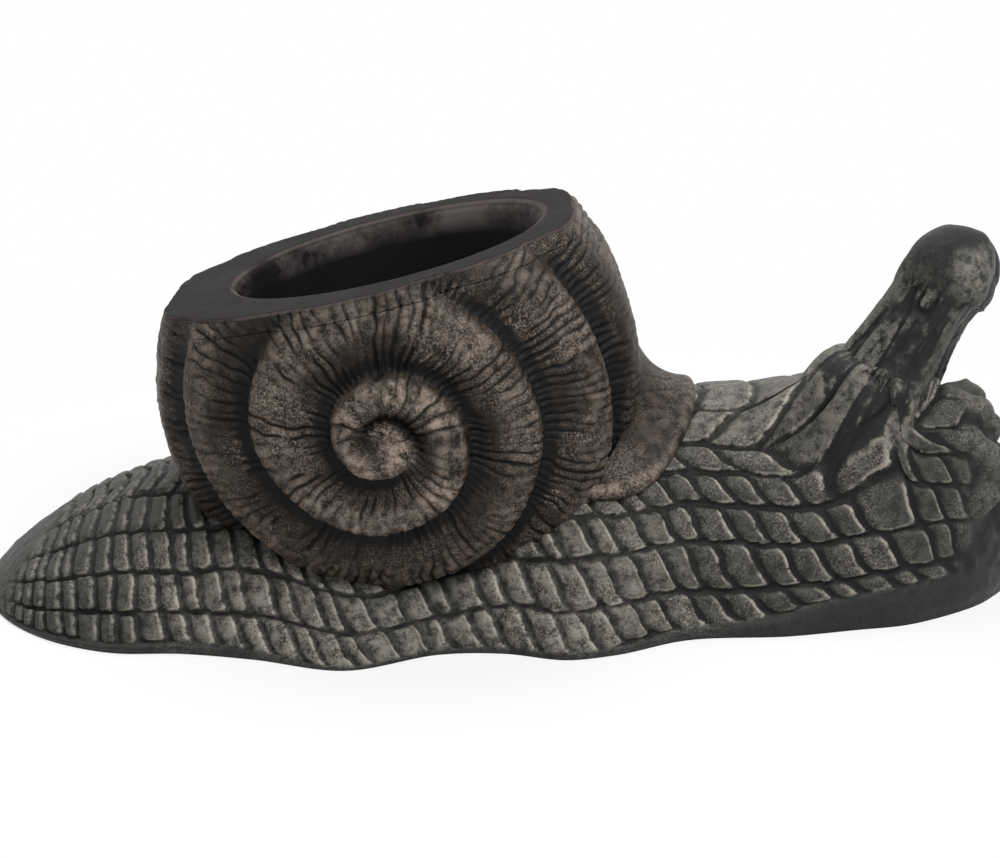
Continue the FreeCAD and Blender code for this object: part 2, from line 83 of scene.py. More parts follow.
# Uneven layers: height, size of a lump, and seed
RUN_WAVER = ((2.4, 34, 3), (1.0, 11, 5))
ROW_WAVER = ((2.0, 40, 7), (0.9, 13, 9))
SKIN_ROUGH = ((0.35, 9, 21), (0.3, 4.5, 23))
FACE_ROUGH = ((3.0, 17, 31), (1.7, 8, 33))
# Stretches along the snail, each from where it begins to where it is full
TAIL, BARE_TIP, HEAD_SIDE, FACE = (-165, -245), (-260, -284), (195, 250), (246, 268)
FLANK_REAR, FLANK_FRONT = (-235, -130), (130, 40)
NECK_REAR, NECK_FRONT = (55, 85), (205, 175)
# Knobs on the front of the head: place along, across and up, and size
KNOB_RISE = 6.5
HEAD_KNOBS = (
    (256, -20, 117, 9), (268, -18, 108, 8), (279, -14, 96, 8), (288, -10, 78, 8), (293, -8, 58, 8),
    (262, -38, 98, 9), (272, -34, 86, 8), (281, -27, 70, 8), (270, -44, 62, 9), (285, -24, 48, 8),
    (258, 10, 116, 9), (271, 8, 106, 8), (282, 10, 90, 8), (264, 34, 98, 9), (275, 30, 82, 8),
    (284, 24, 62, 8), (269, 44, 60, 9), (290, 8, 44, 8),
)
BODY_COLUMNS, BODY_ROWS, HEM_SWELL = 420, 226, 1.8


def through(knots, values, at):
    """A smooth curve through the values at the knots."""
    slopes = np.gradient(values, knots)
    place = np.clip(np.searchsorted(knots, at) - 1, 0, len(knots) - 2)
    span = knots[place + 1] - knots[place]
    step = (at - knots[place]) / span
    start = (1 + 2 * step) * (1 - step) ** 2 * values[place] + step * (1 - step) ** 2 * span * slopes[place]
    end = step ** 2 * (3 - 2 * step) * values[place + 1] + step ** 2 * (step - 1) * span * slopes[place + 1]
    return start + end


def way_along(points):
    """The length of the way from the first of a row of points to each of them."""
    return np.concatenate([[0], np.cumsum(np.linalg.norm(np.diff(points, axis=0), axis=1))])


def ease(low, high, value):
    """From 0 at low to 1 at high, softly at both ends."""
    step = np.clip((value - low) / (high - low), 0, 1)
    return step * step * (3 - 2 * step)


def chance(*numbers):
    """A fixed random share from 0 to 1 for each set of whole numbers."""
    mixed = sum(number * factor for number, factor in zip(numbers, (12.9898, 78.233, 37.719)))
    return np.modf(np.abs(np.sin(mixed) * 43758.5453))[0]


def lumps(spots, size, seed):
    """Smooth noise from -1 to 1 with lumps of a size, at rows of three coordinates."""
    scaled = spots / size
    cell = np.floor(scaled)
    part = scaled - cell
    part = part * part * (3 - 2 * part)
    total = 0
    for corner in np.ndindex(2, 2, 2):
        weight = np.prod(np.where(corner, part, 1 - part), axis=1)
        total = total + weight * chance(*(cell + corner).T + seed)
    return 2 * total - 1


def uneven(spots, layers):
    """Lumps of several heights and sizes on top of each other."""
    return sum(height * lumps(spots, size, seed) for height, size, seed in layers)


def bent_grid(columns, rows, place):
    """A grid bent to place(along, round), both from 0 to 1, with the values that place gives as layers."""
    mesh = bmesh.new()
    bmesh.ops.create_grid(mesh, x_segments=columns, y_segments=rows, size=0.5)
    flat = np.array([vert.co for vert in mesh.verts])
    spots, layers = place(flat[:, 0] + 0.5, flat[:, 1] + 0.5)
    for vert, spot in zip(mesh.verts, spots * MM):
        vert.co = spot
    for name, values in layers.items():
        layer = mesh.verts.layers.float.new(name)
        for vert, value in zip(mesh.verts, values):
            vert[layer] = value
    return mesh


def outward(surface, along, round_share):
    """Unit normals of a surface of two shares, by small steps."""
    step = 1e-4
    back, forth = np.clip(along - step, 0, 1), np.clip(along + step, 0, 1)
    low, high = np.clip(round_share - step, 0, 1), np.clip(round_share + step, 0, 1)
    ahead = surface(forth, round_share) - surface(back, round_share)
    aside = surface(along, high) - surface(along, low)
    normal = np.cross(ahead, aside)
    return normal / np.maximum(np.linalg.norm(normal, axis=1), 1e-9)[:, None]


def finish_piece(name, mesh, material, body, slot, *nodes):
    """Makes the smooth object of a bmesh, with its material, body and the nodes that it stands for; slot is
    not used.
    """
    bmesh.ops.recalc_face_normals(mesh, faces=mesh.faces)
    for face in mesh.faces:
        face.smooth = True
    data = bpy.data.meshes.new(name)
    mesh.to_mesh(data)
    mesh.free()
    piece = bpy.data.objects.new(name, data)
    bpy.context.scene.collection.objects.link(piece)
    data.materials.append(material)
    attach(piece, body)
    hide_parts(*nodes)
    return piece


def whole_outline(half):
    """Both sides of a half outline, from the right hem over the back to the left hem."""
    return np.concatenate([half * (-1, 1), half[-2::-1]])


body_knots = way_along(BODY_SECTIONS[:, :3])
run_of_plan = np.interp(SCALE_PLAN[:, 0], BODY_SECTIONS[:, 0], body_knots)
lean_whole, full_whole = whole_outline(LEAN_OUTLINE), whole_outline(FULL_OUTLINE)
outline_knots = np.arange(float(len(lean_whole)))
fine_turns = np.linspace(0, outline_knots[-1], 400)


def outline_at(outline, turns):
    """How far across and up an outline is, at turns counted in its knots."""
    return [through(outline_knots, outline[:, column], turns) for column in (0, 1)]


typical_run = way_along(np.stack(outline_at(lean_whole + full_whole, fine_turns), axis=1))
typical_run /= typical_run[-1]


def body_measures(along):
    """Place, half width, height and fullness of the section at a share of the way from tail to head."""
    return [through(body_knots, BODY_SECTIONS[:, column], along * body_knots[-1]) for column in range(4)]


def body_surface(along, round_share):
    """Points of the body's plain skin."""
    x, half_width, height, fullness = body_measures(along)
    turn = np.interp(round_share, typical_run, fine_turns)
    lean_across, lean_up = outline_at(lean_whole, turn)
    full_across, full_up = outline_at(full_whole, turn)
    across = lean_across + fullness * (full_across - lean_across)
    up = lean_up + fullness * (full_up - lean_up)
    return np.stack([x, half_width * across, np.maximum(height * up, 0)], axis=1)


# The drum of the shell, which the body is hollowed for: a tread, two round shoulders and two domed faces
SHELL_X, SHELL_Z, SHELL_RADIUS, SHELL_HALF = -56, 128, 134, 128
TREAD_HALF, SHOULDER, SHELL_WALL, SEAT = 26, 62, 8, 20
DRAIN_X, DRAIN_HOLE = -65, 10
shoulder_out = SHELL_RADIUS - SHOULDER
dome_level = SHELL_HALF - SHOULDER
dome_sink = (shoulder_out ** 2 + TREAD_HALF ** 2 - dome_level ** 2) / (2 * (dome_level - TREAD_HALF))
body_seat = SEAT + SHELL_WALL / 2


def drum_radius(across, growth):
    """Radius of the drum about its axis, at a distance from the middle of the tread."""
    beside = np.abs(across)
    shoulder = SHOULDER + growth
    dome = SHELL_HALF + dome_sink + growth
    past_tread = np.maximum(beside - TREAD_HALF, 0)
    on_shoulder = shoulder_out + np.sqrt(np.maximum(shoulder ** 2 - past_tread ** 2, 0))
    on_dome = np.sqrt(np.maximum(dome ** 2 - (beside + dome_sink) ** 2, 0))
    meet = TREAD_HALF + shoulder * (TREAD_HALF + dome_sink) / math.hypot(shoulder_out, TREAD_HALF + dome_sink)
    return np.where(beside < meet, on_shoulder, on_dome)


def shell_bed(x, y):
    """The highest that the body may be under the shell: halfway into the shell's wall, and free beside it."""
    below = drum_radius(y, -SHELL_WALL / 2) ** 2 - (x - SHELL_X) ** 2
    return np.where(below > 0, np.maximum(SHELL_Z - np.sqrt(np.maximum(below, 0)), body_seat), 1e3)


def scale_cells(base, run, rise_share, half_girth, side):
    """Of the scale at each point: distance to its edge, share towards its lit right and lower edges, tilt,
    tone, and the hem below it.
    """
    x = base[:, 0]
    length, slant, bend = (np.interp(x, SCALE_PLAN[:, 0], SCALE_PLAN[:, column]) for column in (1, 2, 3))
    run = run + uneven(base, RUN_WAVER)
    rise_share = rise_share + uneven(base, ROW_WAVER) / half_girth
    fine_run = np.linspace(-60, body_knots[-1] + 60, 3000)
    fine_length = np.interp(fine_run, run_of_plan, SCALE_PLAN[:, 1])
    count = np.interp(run, fine_run, np.cumsum(np.diff(fine_run, prepend=fine_run[0]) / fine_length))
    columns = ROW_PLAN[:, 1:].T
    lines = np.stack([np.interp(x, ROW_PLAN[:, 0], column) for column in columns], axis=1)
    lines = np.concatenate([lines, np.maximum(2 - lines[:, -1:], lines[:, -1:] + 0.2)], axis=1)
    last_row = lines.shape[1] - 2
    row = np.clip((lines <= rise_share[:, None]).sum(axis=1) - 1, 0, last_row)
    each = np.arange(len(x))
    low, high = lines[each, row], lines[each, row + 1]
    up = (rise_share - low) / (high - low) - 0.5
    on_neck = x > 0
    crossing = np.where(on_neck, row >= CROSS_ROW, row >= LONG_ROW)
    pace = np.where(on_neck & (row == LONG_ROW), LONG_PACE, np.where(on_neck & crossing, CROSS_PACE, 1.0))
    lean, curl = np.where(crossing, CROSS_LEAN, slant), np.where(crossing, CROSS_CURL, bend)
    flow = pace * count + lean * (up + row) + curl * ((2 * up) ** 3 + 2 * row)
    row_side = np.where(row == last_row, 0, side)

    def border(cell):
        shared, own = chance(cell, row_side, 5.0), chance(row + 3, cell, row_side)
        return cell + 0.22 * (shared - 0.5) + 0.2 * (own - 0.5)

    cell = np.floor(flow)
    cell = cell - (flow < border(cell)) + (flow > border(cell + 1))
    start, end = border(cell), border(cell + 1)
    across = (flow - start) / (end - start) - 0.5
    up = up + 0.06 * (1 - 4 * across ** 2) + 0.09 * (chance(row + 31, cell, row_side) - 0.5)
    row_height = (high - low) * half_girth
    upright = 1 / np.sqrt(1 + (lean * length / pace / np.maximum(row_height, 4)) ** 2)
    reach = length / pace * (end - start) * upright
    tall = row_height * ROW_THIN
    gaps = [(0.5 - across) * reach, (0.5 + across) * reach, (0.5 + up) * tall, (0.5 - up) * tall]
    pull_in = np.exp(-np.clip(np.stack(gaps, axis=1), -2, 30) / CORNER)
    from_edge = np.clip(-CORNER * np.log(pull_in.sum(axis=1)), 0, FAR_EDGE)
    # Share of the right and lower edges, which get the painted highlight
    lit_side = (pull_in[:, 0] + 0.8 * pull_in[:, 2]) / pull_in.sum(axis=1)
    return from_edge, lit_side, across - 0.5 * up, chance(row + 11, cell, row_side), lines[:, 0]


# Line of the right stalk from its collar to the tip of its knob: place along, height and radius
STALK_LINE = np.array([
    (206, 118, 29), (214, 134, 26.5), (222, 150, 23.5), (230, 165, 21.5), (236, 176, 21.5),
    (240.5, 184, 23.5), (247, 190.5, 25), (255, 194.5, 22.5), (262, 197, 16.5), (267, 198, 9.5),
    (269.5, 198.4, 0.2),
])
STALK_FOOT, STALK_LEAN, LEFT_SHIFT = (214, -28, 134), math.radians(27), (18, 56, -16)
stalk_knots = way_along(STALK_LINE[:, :2])
stalk_foot = stalk_knots[1]
# The collar of skin on the head that each stalk stands in, widest at the nape, with a fillet in front
COLLAR_IN, COLLAR_FRONT, COLLAR_NAPE, COLLAR_FALL, COLLAR_SOFT = 25, 29, 38, 27, 9
FILLET_OUT, FILLET_TOP, FILLET_FALL, FILLET_BEND = 37, 6, 34, 1.8
# How far the skin falls beyond the collar, and how dark the collars are made at least
SKIRT_FALL, COLLAR_DARKENING = 1.6, 0.32


def skin_folds(nape, beside, run, side):
    """Folds that run down a stalk and its collar: their height, deep valleys, and fine creases."""
    spots = np.stack([16 * nape + 90 * side, 16 * beside, run / 7], axis=1)
    spots = spots + np.stack([2 * lumps(spots, 4, 71), 2 * lumps(spots, 4, 73), 0 * run], axis=1)
    fold, fine = lumps(spots, 5, 75), lumps(spots, 3, 77)
    valley = np.exp(-(fold / 0.16) ** 2) * ease(-0.5, 0.2, lumps(spots, 7, 91))
    crease = np.exp(-(fine / 0.16) ** 2) * ease(-0.3, 0.3, lumps(spots, 5, 79))
    return fold, valley, crease


def fold_paint(fold, valley, crease):
    """Relief and wear of the paint on folds of skin."""
    relief = (0.46 + 0.3 * fold) * (1 - 0.85 * valley) * (1 - 0.5 * crease)
    return np.clip(relief, 0, 1), 0.45 * ease(0.25, 0.6, fold)


def raise_collar(spots, side):
    """Lifts the skin round a stalk's foot to its collar, and gives the collar's share, relief and wear."""
    foot = np.array(STALK_FOOT) + (np.array(LEFT_SHIFT) if side > 0 else 0)
    axis = np.array([math.sin(STALK_LEAN), 0, math.cos(STALK_LEAN)])
    to_nape = np.array([-math.cos(STALK_LEAN), 0, math.sin(STALK_LEAN)])
    away = spots - foot
    level = away @ axis
    radial = away - level[:, None] * axis
    reach = np.maximum(np.linalg.norm(radial, axis=1), 1e-6)
    nape, beside = radial @ to_nape / reach, radial[:, 1] / reach
    edge = COLLAR_FRONT + (COLLAR_NAPE - COLLAR_FRONT) * ease(-0.8, 0.7, nape)
    share = np.clip((reach - COLLAR_IN) / (edge - COLLAR_IN), 0, 1)
    hump = -COLLAR_FALL * (1 - np.sqrt(1 - share ** 2)) - SKIRT_FALL * np.maximum(reach - edge, 0)
    share = np.clip((reach - COLLAR_IN) / (FILLET_OUT - COLLAR_IN), 0, 1)
    fillet = FILLET_TOP - FILLET_FALL * (1 - (1 - share) ** FILLET_BEND)
    fillet = fillet - SKIRT_FALL * np.maximum(reach - FILLET_OUT, 0)
    above = fillet + ease(0.1, 0.75, nape) * (hump - fillet) - level
    lift = 0.5 * (above + np.hypot(above, COLLAR_SOFT)) * ease(-70, -50, level)
    dip = np.maximum(level + 8, 0) * ease(-0.2, -0.7, nape) * ease(38, 30, reach)
    fold, valley, crease = skin_folds(nape, beside, stalk_foot + level, side)
    within = np.where(nape > 0.3, reach, reach + edge - FILLET_OUT)
    on_collar = ease(edge + 3, edge - 3, within) * ease(3, 9, lift)
    spots = spots + axis * (lift - np.where(level > -60, dip, 0))[:, None]
    spots = spots + radial / reach[:, None] * (on_collar * (fold - valley - 0.3 * crease))[:, None]
    return spots, on_collar, *fold_paint(fold, valley, crease)


def body_place(along, round_share):
    """Points of the body's skin with its scales, face and collars, and the layers that its paint follows."""
    base = body_surface(along, round_share)
    normal = outward(body_surface, along, round_share)
    x, half_width, height = body_measures(along)[:3]
    side = np.where(round_share < 0.5, 0, 1)
    from_hem = 2 * np.minimum(round_share, 1 - round_share)
    half_girth = 0.5 * math.pi * np.sqrt((half_width ** 2 + height ** 2) / 2)
    rise = from_hem * half_girth
    run = along * body_knots[-1]
    from_edge, lit_side, tilt, tone, hem_share = scale_cells(base, run, from_hem, half_girth, side)
    on_tail, on_face = ease(*TAIL, x), ease(*FACE, x)
    on_tip = ease(*BARE_TIP, x - 20 * ease(0.4, 0.9, from_hem) + 5 * lumps(base, 20, 25))
    from_edge = np.minimum(from_edge * (1 + 0.4 * on_tail), FAR_EDGE)
    scaled = ease(-1.5, 1.5, (from_hem - hem_share) * half_girth)
    groove = np.exp(-(from_edge / GROOVE_HALF) ** 2)
    crown = 1 - np.exp(-from_edge / CROWN_RUN)
    calm = scaled * (1 - on_face) * (1 - on_tip)
    face_lumps = uneven(base, FACE_ROUGH)
    for knob_x, knob_y, knob_z, knob in HEAD_KNOBS:
        apart = np.linalg.norm(base - (knob_x, knob_y, knob_z), axis=1)
        face_lumps = face_lumps + KNOB_RISE * np.exp(-(apart / knob) ** 3)
    hem_height = np.maximum(hem_share * half_girth, 3)
    hem_round = HEM_SWELL * np.sin(math.pi * np.clip(rise / hem_height, 0, 1)) * ease(0, 1, height)
    lift = calm * (SCALE_CROWN * crown + SCALE_TILT * tilt * crown - GROOVE_DEPTH * groove)
    lift = lift + on_face * face_lumps * scaled + uneven(base, SKIN_ROUGH) + hem_round
    lift = lift * ease(0, 5, np.minimum(rise, height))
    spots = base + normal * lift[:, None]

    # The face's relief stays low, which paints it dark as shade. The knobs rise paler
    relief = (1 - on_face) * from_edge / FAR_EDGE + on_face * (0.24 + 0.075 * face_lumps)
    relief = np.clip(relief, 0, 1) * scaled + 0.5 * (1 - scaled)
    relief = relief + on_tip * (0.4 - relief)
    relief = relief + 0.3 * on_tail * scaled * (0.44 - relief)
    # Pale edges: rubbed paint, put on the right and lower edges of each scale as painted highlight
    edges = calm * lit_side * (1 - 0.4 * on_tail)
    flank = ease(*FLANK_REAR, x) * ease(*FLANK_FRONT, x) * ease(0.65, 0.25, from_hem) * scaled
    neck_back = ease(*NECK_REAR, x) * ease(*NECK_FRONT, x) * ease(0.5, 0.75, from_hem) * scaled
    # Paler flanks, and the back of the neck paler as painted highlight
    wear_and_highlight = 0.09 * on_face * np.maximum(face_lumps - 1.5, 0) + (0.55 * flank + 0.4 * neck_back) * crown
    collars = 0 * x
    for stalk_side in (-1, 1):
        spots, on_collar, fold_relief, fold_worn = raise_collar(spots, stalk_side)
        collars = np.maximum(collars, on_collar)
        relief = relief + on_collar * (fold_relief - relief)
        edges = edges + on_collar * (0.6 - edges)
        wear_and_highlight = wear_and_highlight + on_collar * (fold_worn - wear_and_highlight)
    bed = shell_bed(spots[:, 0], spots[:, 1])
    spots[:, 2] = np.maximum(np.minimum(spots[:, 2], bed), 0)
    # Painted shade on the skin next to the shell, fading within a few millimetres
    painted_shell_shade = 0.9 * np.exp(-np.clip(bed - base[:, 2], 0, 200) / 8)
    # The hem band is darker, more so towards the head, and so is the bottom of the face
    low_darkening = (1 - scaled) * (0.55 + 0.45 * ease(40, 200, x)) + 0.45 * on_face * ease(70, 30, base[:, 2])
    # Painted shade on the face and on the lower sides of the head
    painted_head_shade = 0.2 * ease(*HEAD_SIDE, x) * ease(0.75, 0.45, from_hem) + 0.24 * on_face
    # The tail is made a little darker too. All of these make one layer of painted shade and darkening
    shade_and_darkening = np.clip(painted_shell_shade + low_darkening + painted_head_shade + 0.18 * on_tail, 0, 1)
    return spots, {"relief": relief, "edges": edges * (1 - shade_and_darkening), "wear_and_highlight": wear_and_highlight * (1 - shade_and_darkening), "tone": tone,
                   "shade_and_darkening": np.maximum(shade_and_darkening, COLLAR_DARKENING * collars)}


def open_edges(mesh):
    """The edges of a mesh that have a face on one side only."""
    return [edge for edge in mesh.edges if edge.is_boundary]


def pull(mesh, edges, place):
    """Extrudes a loop of open edges, moves its new points to place(point), and gives the new loop."""
    made = bmesh.ops.extrude_edge_only(mesh, edges=edges)["geom"]
    points = {item for item in made if isinstance(item, bmesh.types.BMVert)}
    for point in points:
        point.co = place(point.co)
    return [item for item in made if isinstance(item, bmesh.types.BMEdge) and set(item.verts) <= points]


def on_ring(point, radius, level):
    """The point moved to a level ring round the upright axis of the drain, in millimetres."""
    away = Vector((point.x - DRAIN_X * MM, point.y)).normalized() * radius * MM
    return Vector((DRAIN_X * MM + away.x, away.y, level * MM))


def feed(node, inputs):
    """Sets inputs of a shader node by name or number: each is a value or another node's output."""
    for name, value in inputs.items():
        if isinstance(value, bpy.types.NodeSocket):
            node.id_data.links.new(value, node.inputs[name])
        else:
            node.inputs[name].default_value = value
    return node


def add_node(tree, kind, inputs, **settings):
    """A new shader node with its settings and inputs."""
    node = tree.nodes.new("ShaderNode" + kind)
    for name, value in settings.items():
        setattr(node, name, value)
    return feed(node, inputs)


def new_finish(name):
    """A new material, its node tree and its surface shader."""
    material = bpy.data.materials.new(name)
    material.use_nodes = True
    return material, material.node_tree, material.node_tree.nodes["Principled BSDF"]


def noise(tree, scale, detail, roughness):
    """Cloudy noise that lies still on the object."""
    place = add_node(tree, "TexCoord", {}).outputs["Object"]
    inputs = {"Vector": place, "Scale": scale, "Detail": detail, "Roughness": roughness}
    return add_node(tree, "TexNoise", inputs).outputs["Fac"]


def layer(tree, name):
    """A layer of the mesh, by its name."""
    return add_node(tree, "Attribute", {}, attribute_name=name).outputs["Fac"]


def maths(tree, operation, first, second, clamp=False):
    """Two values put together."""
    return add_node(tree, "Math", {0: first, 1: second}, operation=operation, use_clamp=clamp).outputs[0]


def spread(tree, value, start, end, ends=(0, 1), kind="LINEAR"):
    """A value spread out, from where it starts and ends to new ends."""
    inputs = {"Value": value, "From Min": start, "From Max": end, "To Min": ends[0], "To Max": ends[1]}
    return add_node(tree, "MapRange", inputs, interpolation_type=kind).outputs["Result"]


def blend(tree, share, first, second):
    """A share of a second colour over a first: each is three numbers or another node's output."""
    colours = [part if isinstance(part, bpy.types.NodeSocket) else (*part, 1) for part in (first, second)]
    inputs = {0: share, 6: colours[0], 7: colours[1]}
    return feed(add_node(tree, "Mix", {}, data_type="RGBA"), inputs).outputs[2]


def bump(tree, height, strength, distance):
    """Normals of a fine unevenness."""
    inputs = {"Height": height, "Strength": strength, "Distance": distance}
    return add_node(tree, "Bump", inputs).outputs["Normal"]


def antique_finish(name, recess, middle, crest, shade_and_darkening_colour, roughness):
    """Plastic painted to look old: black wash in recesses, a mottled middle tone, rubbed pale edges, and
    painted highlights and shade.
    """
    material, tree, shader = new_finish(name)

    def times(first, second, clamp=False):
        return maths(tree, "MULTIPLY", first, second, clamp)

    def plus(first, second):
        return maths(tree, "ADD", first, second)

    def soft(value, start, end):
        return spread(tree, value, start, end, kind="SMOOTHSTEP")

    speckle, mottle, patches = noise(tree, 850, 4, 0.75), noise(tree, 170, 5, 0.6), noise(tree, 24, 4, 0.6)
    relief = plus(layer(tree, "relief"), times(maths(tree, "SUBTRACT", mottle, 0.5), 0.45))
    lit = soft(relief, 0.17, 0.56)
    stained = soft(plus(times(mottle, 0.6), times(speckle, 0.4)), 0.40, 0.62)
    dull, bright = ([factor * part for part in middle] for factor in (0.5, 1.45))
    colour = blend(tree, lit, recess, blend(tree, stained, dull, bright))
    # Pale flecks on raised parts: dry-brushed paint and painted sheen
    rub_and_highlight = times(soft(speckle, 0.45, 0.68), times(lit, soft(patches, 0.35, 0.7)))
    rub_and_highlight = times(rub_and_highlight, plus(times(layer(tree, "tone"), 0.5), 0.3))
    scratchy = soft(plus(mottle, times(speckle, 0.5)), 0.55, 0.95)
    # Wear and painted highlight from a layer of the mesh
    worn_and_lit = times(layer(tree, "wear_and_highlight"), scratchy)
    # Pale bands beside the grooves: rubbed edges, which on the scales fall on the lit side as painted
    # highlight
    edged = times(soft(relief, 0.30, 0.44), soft(relief, 0.76, 0.50))
    edged = times(edged, times(layer(tree, "edges"), scratchy))
    for pale in (rub_and_highlight, worn_and_lit, edged):
        colour = blend(tree, times(pale, 0.8, True), colour, crest)
    # Painted shade, and plain darkening elsewhere, from a layer of the mesh, towards its own dark colour
    colour = blend(tree, times(layer(tree, "shade_and_darkening"), 0.85, True), colour, shade_and_darkening_colour)
    gloss = spread(tree, mottle, 0.3, 0.7, (roughness - 0.1, roughness + 0.12))
    grain = bump(tree, plus(mottle, times(speckle, 0.45)), 0.55, 0.0012)
    feed(shader, {"Base Color": colour, "Metallic": 0.1, "Specular IOR Level": 0.14, "Roughness": gloss,
                  "Normal": grain})
    return material


body_finish = antique_finish("body_antique", (0.0090, 0.0096, 0.0092), (0.045, 0.044, 0.039),
                             (0.44, 0.41, 0.35), (0.017, 0.0205, 0.0198), 0.48)
body_skin = bent_grid(BODY_COLUMNS, BODY_ROWS, body_place)
drain_axis = Vector((DRAIN_X * MM, 0))
over_drain = [vert for vert in body_skin.verts
              if vert.co.z > 0 and (vert.co.xy - drain_axis).length < DRAIN_HOLE * MM]
bmesh.ops.delete(body_skin, geom=over_drain, context="VERTS")
bmesh.ops.remove_doubles(body_skin, verts=body_skin.verts, dist=0.00005)
drain_edge = [edge for edge in open_edges(body_skin) if edge.verts[0].co.z > 0.01
              and (edge.verts[0].co.xy - drain_axis).length < 2 * DRAIN_HOLE * MM]
for vert in {vert for edge in drain_edge for vert in edge.verts}:
    vert.co = on_ring(vert.co, DRAIN_HOLE, body_seat)
pull(body_skin, drain_edge, lambda point: on_ring(point, DRAIN_HOLE, 0))
ground_edges = [edge for edge in open_edges(body_skin) if all(abs(vert.co.z) < 0.0004 for vert in edge.verts)]
bmesh.ops.triangle_fill(body_skin, edges=ground_edges, use_beauty=True)
finish_piece("body_skin", body_skin, body_finish, "pot", "body_plastic", "snail_body")

# The coiled shell: a drum-shaped moulding of dark plastic, screwed down on the snail's back under the bowl.
# Each face winds outwards in ribbed whorls with deep sutures, and a slanted plane cuts off the top.
# It is made here as two halves that meet at the middle of the tread.

WHORL_GROWTH, EYE_RADIUS, EYE_BACK, EYE_DOWN = 38.5, 8, 4, 5
CORE_RADIUS, CORE_TURN, CORE_START, COIL_SWAY = 6, 0.3, 8.3, 8
WHORL_RISE, SUTURE_DROP = 7.5, 5.0
RIB_SPACING, RIB_SWELL, CRACK_HALF, CRACK_DEPTH = 5.2, 0.6, 0.95, 1.5
BULB, BULB_SIZE, BULB_RISE = (7, -7), 10, 4.5
COIL_WAVER = ((1.2, 30, 41),)
RIB_WAVER = ((0.8, 19, 43), (0.3, 7, 45))
SHELL_ROUGH = ((0.35, 8, 51), (0.28, 4, 53))
RIM_HEIGHT, RIM_SLOPE, FLANGE, FIT = 199.5, math.radians(13.3), 9, 0.3
SHELL_COLUMNS, SHELL_ROWS, LINING_STEPS = 860, 108, 10
dome_radius = SHELL_HALF + dome_sink
meet_angle = math.atan2(TREAD_HALF + dome_sink, shoulder_out)
dome_run = dome_radius * (math.pi / 2 - meet_angle)
shoulder_run = SHOULDER * meet_angle
half_run = dome_run + shoulder_run + TREAD_HALF
rim_up = Vector((-math.sin(RIM_SLOPE), 0, math.cos(RIM_SLOPE)))
rim_middle = Vector((SHELL_X, 0, RIM_HEIGHT)) * MM


def drum_profile(share):
    """Radius, half width and tilt of the drum, at a share of the way from a face's middle to the tread's."""
    run = share * half_run
    dome_turn = math.pi / 2 - np.minimum(run, dome_run) / dome_radius
    shoulder_turn = meet_angle - np.clip(run - dome_run, 0, shoulder_run) / SHOULDER
    on_dome = run < dome_run
    shoulder_radius = shoulder_out + SHOULDER * np.cos(shoulder_turn)
    radius = np.where(on_dome, dome_radius * np.cos(dome_turn), shoulder_radius)
    across = np.where(on_dome, dome_radius * np.sin(dome_turn) - dome_sink,
                      TREAD_HALF + SHOULDER * np.sin(shoulder_turn))
    across = across - np.maximum(run - dome_run - shoulder_run, 0)
    return radius, across, np.where(on_dome, dome_turn, shoulder_turn)


